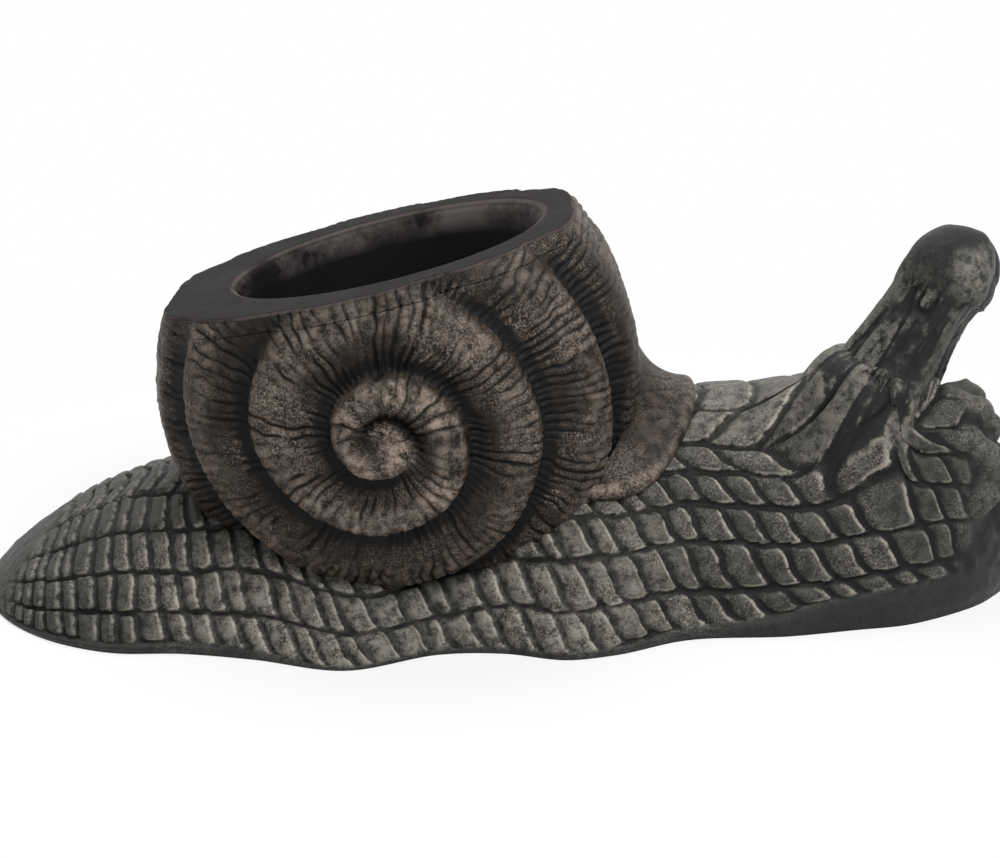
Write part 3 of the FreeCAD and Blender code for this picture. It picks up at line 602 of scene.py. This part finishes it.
def coil_relief(spots, radius):
    """Lift, relief, wear with painted highlight, and tone of the whorls and ribs, at points on the drum at a
    radius from its axis.
    """
    x, z = spots[:, 0] - SHELL_X + EYE_BACK, spots[:, 2] - SHELL_Z + EYE_DOWN
    reach = np.hypot(x, z)
    turn_share = np.mod(np.arctan2(-z, x) / (2 * math.pi), 1)
    sway = COIL_SWAY * ease(35, 70, reach) * np.maximum(z - x, 0) / np.maximum(reach, 1) / math.sqrt(2)
    wavy = np.maximum(reach - sway + uneven(spots, COIL_WAVER), CORE_START) - CORE_RADIUS
    coil = CORE_TURN * np.log(np.expm1(wavy / WHORL_GROWTH / CORE_TURN)) - 0.05 - turn_share
    whorl = np.floor(coil)
    part = coil - whorl
    turn = whorl + turn_share
    below_rim = RIM_HEIGHT - spots[:, 2] + (spots[:, 0] - SHELL_X) * math.tan(RIM_SLOPE)
    near_rim = 0.4 + 0.6 * ease(0, 26, below_rim * math.cos(RIM_SLOPE))
    deep = ease(132, 122, radius) * ease(1, 13, reach) * near_rim
    bulge = ease(0.0, 0.46, part) * (1 - ease(0.84, 1.0, part))
    middle_reach = np.maximum(EYE_RADIUS + WHORL_GROWTH * (turn + 0.5), 6)
    phase = 2 * math.pi / RIB_SPACING * (EYE_RADIUS * turn + WHORL_GROWTH * (turn ** 2 + turn) / 2)
    phase = phase + 1.3 * (part - 0.5) ** 2 + uneven(spots, RIB_WAVER)
    rib = np.floor(phase)
    between = phase - rib
    width = RIB_SPACING * np.clip(reach / middle_reach, 0.4, 1.8)
    from_crack = np.minimum(between, 1 - between) * width
    sharp = 0.3 + 0.7 * chance(np.round(phase), 3.0)
    broken = ease(-0.5, 0.15, lumps(spots, 11, 47))
    crack = np.exp(-(from_crack / CRACK_HALF) ** 2) * sharp * broken
    swell = 4 * between * (1 - between) * (0.25 + 0.75 * chance(rib, 5.0))
    ribbed = 1 - 0.6 * ease(58, 84, spots[:, 0])
    bulb = np.exp(-(np.hypot(x - BULB[0], z - BULB[1]) / BULB_SIZE) ** 4)
    lift = deep * (WHORL_RISE * bulge - SUTURE_DROP) + ribbed * (RIB_SWELL * swell - CRACK_DEPTH * crack)
    lift = lift + uneven(spots, SHELL_ROUGH) + BULB_RISE * bulb
    open_part = ease(0.05, 0.36, part) * (1 - ease(0.95, 1.0, part))
    shown = 1 + deep * (0.03 + 0.97 * open_part - 1)
    relief = np.maximum(shown, 0.8 * bulb) * (1 - np.minimum(1.6 * crack * ribbed, 0.92))
    # Crests of the whorls and the bulb are paler, most on the inner whorls: rubbed paint and painted
    # highlight
    crest = ease(0.3, 0.6, part) * (1 - ease(0.8, 0.97, part))
    inner = ease(75, 30, reach)
    wear_and_highlight = np.maximum((0.4 + 0.6 * inner) * crest * (0.3 + 0.7 * swell), 0.9 * bulb) * (1 - crack)
    return lift, np.clip(relief, 0, 1), wear_and_highlight, chance(rib, whorl, 7.0)


def coil_skin(side):
    """The outer skin of one half of the drum, from the middle of a face to the middle of the tread."""
    def place(along, share):
        angle = 2 * math.pi * along
        radius, across, tilt = drum_profile(share)
        base = np.stack([SHELL_X + radius * np.cos(angle), -across, SHELL_Z + radius * np.sin(angle)], axis=1)
        lift, relief, wear_and_highlight, tone = coil_relief(base, radius)
        normal = np.stack([np.cos(tilt) * np.cos(angle), -np.sin(tilt), np.cos(tilt) * np.sin(angle)], axis=1)
        spots = base + normal * lift[:, None]
        spots[:, 1] = -side * np.where(share > 0.9999, 0, spots[:, 1])
        # Painted shade low on the shell, where it sits in the body
        seat_shade = np.exp(-np.maximum(base[:, 2] - body_seat, 0) / 11)
        return spots, {"relief": relief, "wear_and_highlight": wear_and_highlight, "tone": tone, "shade_and_darkening": seat_shade}

    mesh = bent_grid(SHELL_COLUMNS, SHELL_ROWS, place)
    bmesh.ops.remove_doubles(mesh, verts=mesh.verts, dist=0.00003)
    return mesh


def slice_off(mesh, point, normal):
    """Cuts away what lies beyond a plane."""
    everything = mesh.verts[:] + mesh.edges[:] + mesh.faces[:]
    bmesh.ops.bisect_plane(mesh, geom=everything, dist=1e-7, plane_co=point, plane_no=normal,
                           clear_outer=True)


def clean_rim(mesh):
    """Merges the shortest steps along the open edges of a mesh."""
    open_verts = [vert for vert in mesh.verts if vert.is_boundary]
    bmesh.ops.remove_doubles(mesh, verts=open_verts, dist=0.0005)


def inner_face(radius):
    """Distance of the shell's inner wall from the middle of the tread, at a radius from the drum's axis."""
    dome, shoulder = dome_radius - SHELL_WALL, SHOULDER - SHELL_WALL
    if radius < dome * math.cos(meet_angle):
        return math.sqrt(dome ** 2 - radius ** 2) - dome_sink
    return TREAD_HALF + math.sqrt(max(shoulder ** 2 - (radius - shoulder_out) ** 2, 0))


def line_half(mesh, side):
    """Gives half a shell its wall: the open edge goes in by it, and loops run on to the face's middle."""
    def wall(point):
        tilt = Vector((point.x / MM - SHELL_X, 0, point.z / MM - SHELL_Z)).normalized()
        lean = max(abs(point.y) / MM - TREAD_HALF, 0) / SHOULDER
        normal = (tilt + Vector((0, side * lean, 0))).normalized()
        if abs(point.y) < 1e-6:
            cut = Vector((0, 1, 0))
        elif abs(point.z - SEAT * MM) < 1e-5:
            cut = Vector((0, 0, 1))
        else:
            cut = rim_up
        flat = normal - cut * normal.dot(cut)
        return point - flat * (SHELL_WALL * MM / flat.length_squared)

    edges = pull(mesh, open_edges(mesh), wall)
    for step in range(1, LINING_STEPS):
        def lining(point, keep=1 - 1 / (LINING_STEPS - step + 1)):
            x, z = (point.x / MM - SHELL_X) * keep, (point.z / MM - SHELL_Z) * keep
            return Vector((SHELL_X + x, side * inner_face(math.hypot(x, z)), SHELL_Z + z)) * MM
        edges = pull(mesh, edges, lining)
    face_middle = Vector((SHELL_X, side * (SHELL_HALF - SHELL_WALL), SHELL_Z)) * MM
    last_ring = pull(mesh, edges, lambda point: face_middle)
    last_verts = {vert for edge in last_ring for vert in edge.verts}
    bmesh.ops.remove_doubles(mesh, verts=list(last_verts), dist=0.0001)


shell_finish = antique_finish("shell_antique", (0.0045, 0.0041, 0.0039), (0.0160, 0.0125, 0.0096),
                              (0.45, 0.355, 0.285), (0.0095, 0.0088, 0.0078), 0.46)
for side, name in ((-1, "shell_right"), (1, "shell_left")):
    half = coil_skin(side)
    slice_off(half, rim_middle - rim_up * (FLANGE + FIT) * MM, rim_up)
    slice_off(half, Vector((0, 0, SEAT * MM)), Vector((0, 0, -1)))
    clean_rim(half)
    line_half(half, side)
    finish_piece(name, half, shell_finish, "pot", "shell_plastic", "coiled_shell")

# The lip of the shell: its mouth flares out over the snail's neck, in one piece with the shell's front.
# The edge is a rolled bead that lies on the neck, brightest of all: rubbed, with a painted highlight low
# down. Growth lines run along the edge.

LIP_X, LIP_REACH, LIP_HALF, LIP_SQUARE = 50, 56, 72, 0.9
LIP_THICK, LIP_BEAD, LIP_BEND = 6.5, 5, (0.3, 0.3, 0.93)
LIP_ROOT_HALF, LIP_ROOT_TOP, LIP_ROOT_FALL = 74, math.radians(10), math.radians(38)
LIP_SWEEP = math.radians(100)
LIP_TUCK, LIP_SINK, LIP_LINES, LIP_LINE_HALF = 9, 6, 8.5, 0.8
LIP_COLUMNS, LIP_ROWS = 260, 120
# Shares of the way round the lip where its flare, its bead and its underside end
FLARE_END, BEAD_END, UNDER_END = 0.62, 0.82, 0.7
LIP_WAVER = ((1.5, 24, 61),)
LINE_WAVER = ((4, 26, 63), (1.2, 9, 65))
LIP_ROUGH = ((0.35, 8, 51), (0.2, 4, 53))
half_turns = np.linspace(0, len(LEAN_OUTLINE) - 1, 200)
half_outlines = [outline_at(outline, half_turns) for outline in (lean_whole, full_whole)]


def back_height(x, y):
    """Height of the body's plain skin over a point of the ground."""
    along = np.interp(x, BODY_SECTIONS[:, 0], body_knots) / body_knots[-1]
    half_width, height, fullness = body_measures(along)[1:]
    share = -np.clip(np.abs(y) / half_width, 0, 1)
    lean, full = (np.interp(share, *outline) for outline in half_outlines)
    return height * (lean + fullness * (full - lean))


def lip_place(along, round_share):
    """Points of the lip, from its root over the flare and the bead and back below, and its paint's layers."""
    turn = (2 * along - 1) * LIP_SWEEP
    sine, cosine = np.sin(turn), np.cos(turn)
    root_y = LIP_ROOT_HALF * sine
    root_angle = LIP_ROOT_TOP - LIP_ROOT_FALL * sine ** 2
    root_radius = drum_radius(root_y, -2)
    root = np.stack([SHELL_X + root_radius * np.cos(root_angle), root_y,
                     SHELL_Z + root_radius * np.sin(root_angle)], axis=1)
    edge_x = LIP_X + LIP_REACH * np.sign(cosine) * np.abs(cosine) ** LIP_SQUARE
    edge_y = LIP_HALF * np.sign(turn) * np.abs(sine) ** LIP_SQUARE
    waver = uneven(np.stack([edge_x, edge_y, 0 * edge_x], axis=1), LIP_WAVER)
    edge_z = back_height(edge_x, edge_y) + LIP_THICK + waver
    edge = np.stack([edge_x, edge_y, edge_z], axis=1)
    bend = root + (edge - root) * np.array(LIP_BEND)
    share = np.clip(round_share / FLARE_END, 0, 1)[:, None]
    flare = (1 - share) ** 2 * root + 2 * share * (1 - share) * bend + share ** 2 * edge
    away = np.stack([LIP_HALF * cosine, LIP_REACH * sine, 0 * turn], axis=1)
    away /= np.linalg.norm(away, axis=1)[:, None]
    up = np.array([0, 0, 1])
    roll = math.pi * np.clip((round_share - FLARE_END) / (BEAD_END - FLARE_END), 0, 1)[:, None]
    bead = edge - up * LIP_BEAD + LIP_BEAD * (away * np.sin(roll) + up * np.cos(roll))
    inside = root - away * LIP_TUCK - up * LIP_SINK
    under = np.clip((round_share - BEAD_END) / (1 - BEAD_END), 0, 1)[:, None]
    bead_end = edge - up * 2 * LIP_BEAD
    back = np.where(under < UNDER_END, bead_end + (inside - bead_end) * under / UNDER_END,
                    inside + (root - inside) * (under - UNDER_END) / (1 - UNDER_END))
    spots = np.where((round_share < FLARE_END)[:, None], flare,
                     np.where((round_share < BEAD_END)[:, None], bead, back))
    line = (share[:, 0] * 30 + 52 * np.abs(turn) + uneven(spots, LINE_WAVER)) / LIP_LINES
    between = line - np.floor(line)
    from_line = np.minimum(between, 1 - between) * LIP_LINES
    crack = np.exp(-(from_line / LIP_LINE_HALF) ** 2) * ease(-0.2, 0.4, lumps(spots, 18, 67))
    on_flare = ease(0.04, 0.14, round_share) * ease(0.60, 0.5, round_share)
    spots[:, 2] += on_flare * (uneven(spots, LIP_ROUGH) - 0.6 * crack)
    at_edge = np.exp(-((round_share - 0.66) / 0.07) ** 2)
    relief = np.clip(0.72 - 0.55 * crack * on_flare, 0, 1)
    # Rubbed paint on the bead and flare, with a painted highlight where the bead is lowest
    wear_and_highlight = at_edge * (0.3 + 0.65 * ease(100, 70, edge_z)) + 0.22 * on_flare * share[:, 0]
    # Painted shade on the inside of the bead and under the lip
    shade_and_darkening = ease(0.74, 0.84, round_share)
    return spots, {"relief": relief, "wear_and_highlight": wear_and_highlight, "tone": 0.5 + 0 * along, "shade_and_darkening": shade_and_darkening}


shell_lip = bent_grid(LIP_COLUMNS, LIP_ROWS, lip_place)
bmesh.ops.remove_doubles(shell_lip, verts=shell_lip.verts, dist=0.00003)
bmesh.ops.holes_fill(shell_lip, edges=open_edges(shell_lip))
finish_piece("shell_lip", shell_lip, shell_finish, "pot", "shell_plastic", "coiled_shell")

# The floor of the shell: a plate that closes it underneath, with a low ring that the bowl's foot stands in.
# It is moulded with the shell, and screwed down on the snail's back.

FLOOR_TOP, FOOT_RING_IN, FOOT_RING_OUT, FOOT_RING_TOP = 28, 73.7, 77.7, 46
FLOOR_POINTS, FLOOR_LIFT = 180, 0.5
# Distances from the drain that are tried for the shell's wall
wall_tries = np.linspace(20, 160, 400)


def floor_edge(point, level):
    """The point moved out to the middle of the shell's wall at a level."""
    turn = math.atan2(point.y, point.x - DRAIN_X * MM)
    x, y = DRAIN_X + wall_tries * math.cos(turn), wall_tries * math.sin(turn)
    inside = (x - SHELL_X) ** 2 + (level - SHELL_Z) ** 2 < drum_radius(y, -SHELL_WALL / 2) ** 2
    return on_ring(point, wall_tries[inside][-1], level)


shell_floor = bmesh.new()
bmesh.ops.create_circle(shell_floor, segments=FLOOR_POINTS, radius=DRAIN_HOLE * MM)
bmesh.ops.translate(shell_floor, verts=shell_floor.verts, vec=(DRAIN_X * MM, 0, SEAT * MM))
rim = shell_floor.edges[:]
for level in (SEAT + FLOOR_LIFT, FLOOR_TOP):
    rim = pull(shell_floor, rim, lambda point: floor_edge(point, level))
for radius, level in ((FOOT_RING_OUT, FLOOR_TOP), (FOOT_RING_OUT, FOOT_RING_TOP),
                      (FOOT_RING_IN, FOOT_RING_TOP), (FOOT_RING_IN, FLOOR_TOP),
                      (DRAIN_HOLE, FLOOR_TOP), (DRAIN_HOLE, SEAT)):
    rim = pull(shell_floor, rim, lambda point: on_ring(point, radius, level))
bmesh.ops.remove_doubles(shell_floor, verts=shell_floor.verts, dist=0.00005)
finish_piece("shell_floor", shell_floor, shell_finish, "pot", "shell_plastic", "coiled_shell")

# The planting bowl: a tapered cup that hangs by its broad slanted flange on the shell and lifts straight out.
# The flange's side carries the shell's whorls on. Its top and the cup are smooth, dark satin plastic.

BOWL_RADIUS, BOWL_LOW_RADIUS, BOWL_FLOOR, BOWL_WALL = 84.4, 64.4, 44, 4
PLUG_HOLE, HOLE_EDGE, FOOT_EDGE = 9, 0.6, 2
RIM_EDGE, MOUTH_EDGE, FLOOR_EDGE = 1.8, 6, 9
BAND_STEPS, EDGE_STEPS, WALL_STEPS = 8, 6, 12
FLOOR_RINGS, OUTER_SHARES = (42, 28, 18, 14), (0, 0.3, 0.6, 0.97)
# Scuffs and painted sheen along the mouth: depths below the rim where they begin and end, the blotches that
# break them, strength and colour
SCUFFS_AND_SHEEN = (((0.1, 0.5), (1.3, 2.0), (0.30, 0.55), 0.45, (0.16, 0.125, 0.115)),
          ((1.0, 3.5), (8.0, 17.0), (0.44, 0.62), 0.7, (0.17, 0.15, 0.142)))
cup_taper = (BOWL_RADIUS - BOWL_LOW_RADIUS) / (RIM_HEIGHT - BOWL_FLOOR)
rim_rise = math.tan(RIM_SLOPE)
quarter = [math.pi / 2 * step / EDGE_STEPS for step in range(EDGE_STEPS + 1)]


def cup_spot(point, out, below_rim, share=0.0):
    """The point moved onto the cup: out from its wall, below the rim, or a share of the way to the floor."""
    turn = math.atan2(point.y, point.x - DRAIN_X * MM)
    offset = out - cup_taper * (below_rim + (DRAIN_X - SHELL_X) * -rim_rise)
    radius = (BOWL_RADIUS + offset) / (1 - cup_taper * rim_rise * math.cos(turn))
    level = RIM_HEIGHT + (DRAIN_X + radius * math.cos(turn) - SHELL_X) * rim_rise - below_rim
    radius -= cup_taper * share * (level - BOWL_FLOOR)
    level += share * (BOWL_FLOOR - level)
    return on_ring(point, radius, level)


bowl = coil_skin(-1)
slice_off(bowl, rim_middle - rim_up * RIM_EDGE * MM, rim_up)
slice_off(bowl, rim_middle - rim_up * FLANGE * MM, -rim_up)
bmesh.ops.mirror(bowl, geom=bowl.verts[:] + bowl.edges[:] + bowl.faces[:], merge_dist=0.00003, axis="Y")
clean_rim(bowl)
flange_faces = set(bowl.faces)
rim_edges, under_edges = [], []
for edge in open_edges(bowl):
    height = (edge.verts[0].co - rim_middle).dot(rim_up) / MM
    (rim_edges if height > -FLANGE / 2 else under_edges).append(edge)

for before, lean in zip(quarter, quarter[1:]):
    inward = RIM_EDGE * (math.cos(before) - math.cos(lean))
    upward = RIM_EDGE * (math.sin(lean) - math.sin(before))

    def round_over(point):
        to_axis = Vector((DRAIN_X * MM, 0, point.z)) - point
        level_in = (to_axis - rim_up * to_axis.dot(rim_up)).normalized()
        return point + (level_in * inward + rim_up * upward) * MM
    rim_edges = pull(bowl, rim_edges, round_over)
for step in range(BAND_STEPS):
    part_in = 1 / (BAND_STEPS - step)
    rim_edges = pull(bowl, rim_edges, lambda point: point.lerp(cup_spot(point, MOUTH_EDGE, 0), part_in))
for lean in quarter[1:]:
    out, below_rim = MOUTH_EDGE * (1 - math.sin(lean)), MOUTH_EDGE * (1 - math.cos(lean))
    rim_edges = pull(bowl, rim_edges, lambda point: cup_spot(point, out, below_rim))
wall_end = 1 - FLOOR_EDGE / (RIM_HEIGHT - BOWL_FLOOR)
for step in range(1, WALL_STEPS + 1):
    share = wall_end * step / WALL_STEPS
    rim_edges = pull(bowl, rim_edges, lambda point: cup_spot(point, 0, MOUTH_EDGE, share))
floor_rings = [(BOWL_LOW_RADIUS - FLOOR_EDGE * (1 - math.cos(lean)),
                BOWL_FLOOR + FLOOR_EDGE * (1 - math.sin(lean))) for lean in quarter[1:]]
floor_rings += [(radius, BOWL_FLOOR) for radius in (*FLOOR_RINGS, PLUG_HOLE + HOLE_EDGE)]
for radius, level in floor_rings + [(PLUG_HOLE, BOWL_FLOOR - HOLE_EDGE)]:
    rim_edges = pull(bowl, rim_edges, lambda point: on_ring(point, radius, level))
flange_drop = FLANGE / math.cos(RIM_SLOPE)
for share in OUTER_SHARES:
    under_edges = pull(bowl, under_edges, lambda point: cup_spot(point, BOWL_WALL, flange_drop, share))
for radius in (BOWL_LOW_RADIUS + BOWL_WALL - FOOT_EDGE, PLUG_HOLE):
    under_edges = pull(bowl, under_edges, lambda point: on_ring(point, radius, BOWL_FLOOR - BOWL_WALL))
bmesh.ops.bridge_loops(bowl, edges=rim_edges + under_edges)
depth_layer = bowl.verts.layers.float.new("depth")
for vert in bowl.verts:
    vert[depth_layer] = -(vert.co - rim_middle).dot(rim_up) / MM
for face in bowl.faces:
    face.material_index = 0 if face in flange_faces else 1


def two_tones(tree, share, dark, light, ends):
    """A dark and a light tone by a share, between the shares where each is pure."""
    ramp = add_node(tree, "ValToRGB", {"Fac": share})
    for stop, position, tone in zip(ramp.color_ramp.elements, ends, (dark, light)):
        stop.position = position
        stop.color = (*tone, 1)
    return ramp.outputs["Color"]


def bowl_finish():
    """Smooth dark plastic: mauve grey on the rim, blue black in the cup, with scuffs and painted sheen along
    the mouth.
    """
    material, tree, shader = new_finish("bowl_satin")
    cloud, blotch = noise(tree, 38, 5, 0.6), noise(tree, 17, 5, 0.7)
    depth = layer(tree, "depth")
    rim_tone = two_tones(tree, cloud, (0.0072, 0.0058, 0.0060), (0.0160, 0.0130, 0.0134), (0.3, 0.75))
    deep = spread(tree, depth, 3.0, 34.0, kind="SMOOTHSTEP")
    colour = blend(tree, deep, rim_tone, (0.0062, 0.0076, 0.0090))
    # Each pale mark is partly a scuff and partly a painted sheen
    for rise, fall, blotches, strength, pale in SCUFFS_AND_SHEEN:
        share = spread(tree, depth, *rise, (0, strength))
        share = maths(tree, "MULTIPLY", share, spread(tree, depth, *reversed(fall)))
        share = maths(tree, "MULTIPLY", share, spread(tree, blotch, *blotches))
        colour = blend(tree, share, colour, pale)
    feed(shader, {"Base Color": colour, "Specular IOR Level": 0.06,
                  "Roughness": spread(tree, cloud, 0.3, 0.7, (0.55, 0.72)),
                  "Normal": bump(tree, noise(tree, 600, 4, 0.7), 0.2, 0.0006)})
    return material


bowl_piece = finish_piece("planting_bowl_skin", bowl, shell_finish, "bowl", "bowl_plastic", "planting_bowl")
bowl_piece.data.materials.append(bowl_finish())

# The eye stalks: two thick plastic stems with a bent knob on top, each plugged into the head and glued.
# Folds of skin run down the stem and on over the collar, which swells at the nape.

STALK_COLUMNS, STALK_ROWS, STALK_SUNK, STALK_DARKENING = 190, 200, 12, 0.48
STALK_ROUGH = ((0.5, 9, 81), (0.35, 4, 83))
# The knob: where it begins and is full above the stalk's foot, its middle, size and the way its painted
# highlight faces
KNOB_RUN, KNOB_MIDDLE, KNOB_SIZE, KNOB_SHINE = (46, 60), (245.6, 189.3), 25, (0.45, 0.85, 0.1)


def stalk_skin(side):
    """The skin of a stalk, from inside its collar to the tip of the knob."""
    def spine(run):
        run = np.clip(run, 0, stalk_knots[-1])
        return [through(stalk_knots, STALK_LINE[:, column], run) for column in range(3)]

    def place(along, round_share):
        run = stalk_foot - STALK_SUNK + along * (stalk_knots[-1] - stalk_foot + STALK_SUNK)
        x, z, radius = spine(run)
        ahead = np.stack(spine(run + 0.5)[:2], axis=1) - np.stack(spine(run - 0.5)[:2], axis=1)
        ahead /= np.linalg.norm(ahead, axis=1)[:, None]
        turn = 2 * math.pi * round_share
        nape, beside = np.cos(turn), np.sin(turn)
        on_knob = ease(stalk_foot + KNOB_RUN[0], stalk_foot + KNOB_RUN[1], run)
        fold, valley, crease = skin_folds(nape, beside, run, side)
        valley, crease = valley * (1 - on_knob), crease * (1 - on_knob)
        near = np.stack([x + radius * nape, radius * beside, z], axis=1)
        lift = (1 - on_knob) * 1.6 * fold - 1.6 * valley - 0.7 * crease
        lift = lift + uneven(near, STALK_ROUGH) * (1 - 0.4 * on_knob)
        full = radius + lift * np.clip(radius / 12, 0, 1)
        middle_y = STALK_FOOT[1] * -side
        spots = np.stack([x - full * nape * ahead[:, 1], middle_y + full * beside,
                          z + full * nape * ahead[:, 0]], axis=1)
        relief, wear_and_highlight = fold_paint(fold, valley, crease)
        relief = relief + on_knob * (0.34 + 0.2 * lumps(near, 14, 89) - relief)
        from_knob = spots - (KNOB_MIDDLE[0], middle_y, KNOB_MIDDLE[1])
        facing = from_knob @ (np.array(KNOB_SHINE) * (1, side, 1)) / KNOB_SIZE
        # A painted highlight on the side of the knob that faces the light, broken up by lumps
        rub_and_highlight = 0.9 * ease(0.62, 0.95, facing + 0.12 * lumps(near, 9, 85))
        wear_and_highlight = wear_and_highlight * (1 - on_knob) + on_knob * rub_and_highlight
        edges = 0.6 * (1 - on_knob)
        tone = 0.5 + 0.3 * lumps(near, 12, 87)
        # The stalk is darker all over, with painted shade on its front side
        shade_and_darkening = STALK_DARKENING + 0.4 * ease(-0.2, -0.8, nape)
        return spots, {"relief": relief, "edges": edges, "wear_and_highlight": wear_and_highlight, "tone": tone, "shade_and_darkening": shade_and_darkening}

    mesh = bent_grid(STALK_COLUMNS, STALK_ROWS, place)
    bmesh.ops.remove_doubles(mesh, verts=mesh.verts, dist=0.00005)
    bmesh.ops.holes_fill(mesh, edges=open_edges(mesh))
    if side > 0:
        bmesh.ops.translate(mesh, verts=mesh.verts, vec=Vector((LEFT_SHIFT[0], 0, LEFT_SHIFT[2])) * MM)
    return mesh


for side, name in ((-1, "right"), (1, "left")):
    finish_piece("stalk_" + name, stalk_skin(side), body_finish, "pot", "body_plastic", "eye_stalk_" + name)

# The fittings: a rubber drain plug with a knob, a plastic drain tube, steel screws and brass inserts.
# The plug is pulled by hand, the tube and inserts are pressed into the body, the screws hold the shell down.
# They keep their CAD shapes.

# Each fitting's node, then the name of its finish, dark and light tone, grain, roughness and metal
FITTINGS = (
    ("drain_plug", "plug_black_rubber", (0.010, 0.010, 0.010), (0.020, 0.020, 0.021), 500, 0.72, 0),
    ("drain_tube", "tube_black_plastic", (0.014, 0.014, 0.015), (0.026, 0.026, 0.028), 350, 0.5, 0),
    ("shell_screws", "screw_zinc", (0.42, 0.43, 0.45), (0.60, 0.61, 0.63), 700, 0.36, 1),
    ("screw_inserts", "insert_brass", (0.52, 0.37, 0.14), (0.70, 0.52, 0.22), 700, 0.32, 1),
)


def plain_finish(name, dark, light, grain, roughness, metal):
    """A plain stuff with a fine grain: two tones, an uneven gloss and a slight bump."""
    material, tree, shader = new_finish(name)
    cloud = noise(tree, grain, 4, 0.65)
    feed(shader, {"Base Color": two_tones(tree, cloud, dark, light, (0.3, 0.7)), "Metallic": metal,
                  "Roughness": spread(tree, cloud, 0.3, 0.7, (roughness - 0.07, roughness + 0.08)),
                  "Normal": bump(tree, cloud, 0.3, 0.0004)})
    return material


for node, *finish in FITTINGS:
    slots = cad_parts[node].data.materials
    slots.clear()
    slots.append(plain_finish(*finish))

# The stage: a plain white floor that fades into a white world, two soft lamps, and the photograph's camera.

FLOOR_SIZE, FLOOR_WHITE, SHADOW_REACH = 14.0, (0.72, 1.0), (0.35, 0.8)
WORLD_LIGHT = 0.3
CAMERA_PLACE, CAMERA_PITCH, CAMERA_LENS, SENSOR = (0, -1.023, 0.419), 72.2, 67.18, 36


def shown_white(tree):
    """One for the rays that show the backdrop: to the camera, in a reflection or through something clear."""
    rays = tree.nodes.new("ShaderNodeLightPath").outputs
    shown = rays["Is Camera Ray"]
    for name in ("Is Glossy Ray", "Is Transmission Ray"):
        shown = maths(tree, "MAXIMUM", shown, rays[name])
    return shown


floor_mesh = bmesh.new()
bmesh.ops.create_grid(floor_mesh, x_segments=8, y_segments=8, size=FLOOR_SIZE / 2)
floor_data = bpy.data.meshes.new("floor")
floor_mesh.to_mesh(floor_data)
floor_mesh.free()
floor = bpy.data.objects.new("floor", floor_data)
bpy.context.scene.collection.objects.link(floor)
floor_paint, tree, shader = new_finish("floor_paint")
feed(shader, {"Base Color": (0.9, 0.9, 0.9, 1), "Roughness": 0.9})
white = add_node(tree, "Emission", {"Color": (1, 1, 1, 1), "Strength": 1.0})
place = add_node(tree, "TexCoord", {}).outputs["Object"]
away = add_node(tree, "VectorMath", {0: place}, operation="LENGTH").outputs["Value"]
fade = maths(tree, "MULTIPLY", shown_white(tree), spread(tree, away, *SHADOW_REACH, FLOOR_WHITE))
mixed = add_node(tree, "MixShader", {0: fade, 1: shader.outputs[0], 2: white.outputs[0]})
feed(tree.nodes["Material Output"], {"Surface": mixed.outputs[0]})
floor_data.materials.append(floor_paint)

world = bpy.data.worlds.new("studio")
bpy.context.scene.world = world
world.use_nodes = True
tree = world.node_tree
strength = spread(tree, shown_white(tree), 0, 1, (WORLD_LIGHT, 1.0))
feed(tree.nodes["Background"], {"Color": (1, 1, 1, 1), "Strength": strength})


def soft_lamp(name, place, target, size, power):
    """A broad lamp at a place, turned to a target."""
    lamp = bpy.data.lights.new(name, "AREA")
    lamp.shape = "RECTANGLE"
    lamp.size, lamp.size_y = size
    lamp.energy = power
    stand = bpy.data.objects.new(name, lamp)
    bpy.context.scene.collection.objects.link(stand)
    stand.location = place
    stand.rotation_euler = (Vector(target) - Vector(place)).to_track_quat("-Z", "Y").to_euler()


soft_lamp("key_light", (0.7, -0.9, 1.5), (0.05, 0, 0.1), (1.0, 0.8), 26)
soft_lamp("top_light", (-0.3, 0.5, 1.7), (-0.05, 0, 0.1), (1.4, 1.0), 16)

view = bpy.data.cameras.new("camera")
view.lens = CAMERA_LENS
view.sensor_width = SENSOR
camera = bpy.data.objects.new("camera", view)
camera.location = CAMERA_PLACE
camera.rotation_euler = (math.radians(CAMERA_PITCH), 0, 0)
bpy.context.scene.collection.objects.link(camera)
bpy.context.scene.camera = camera
bpy.context.scene.view_settings.view_transform = "Standard"
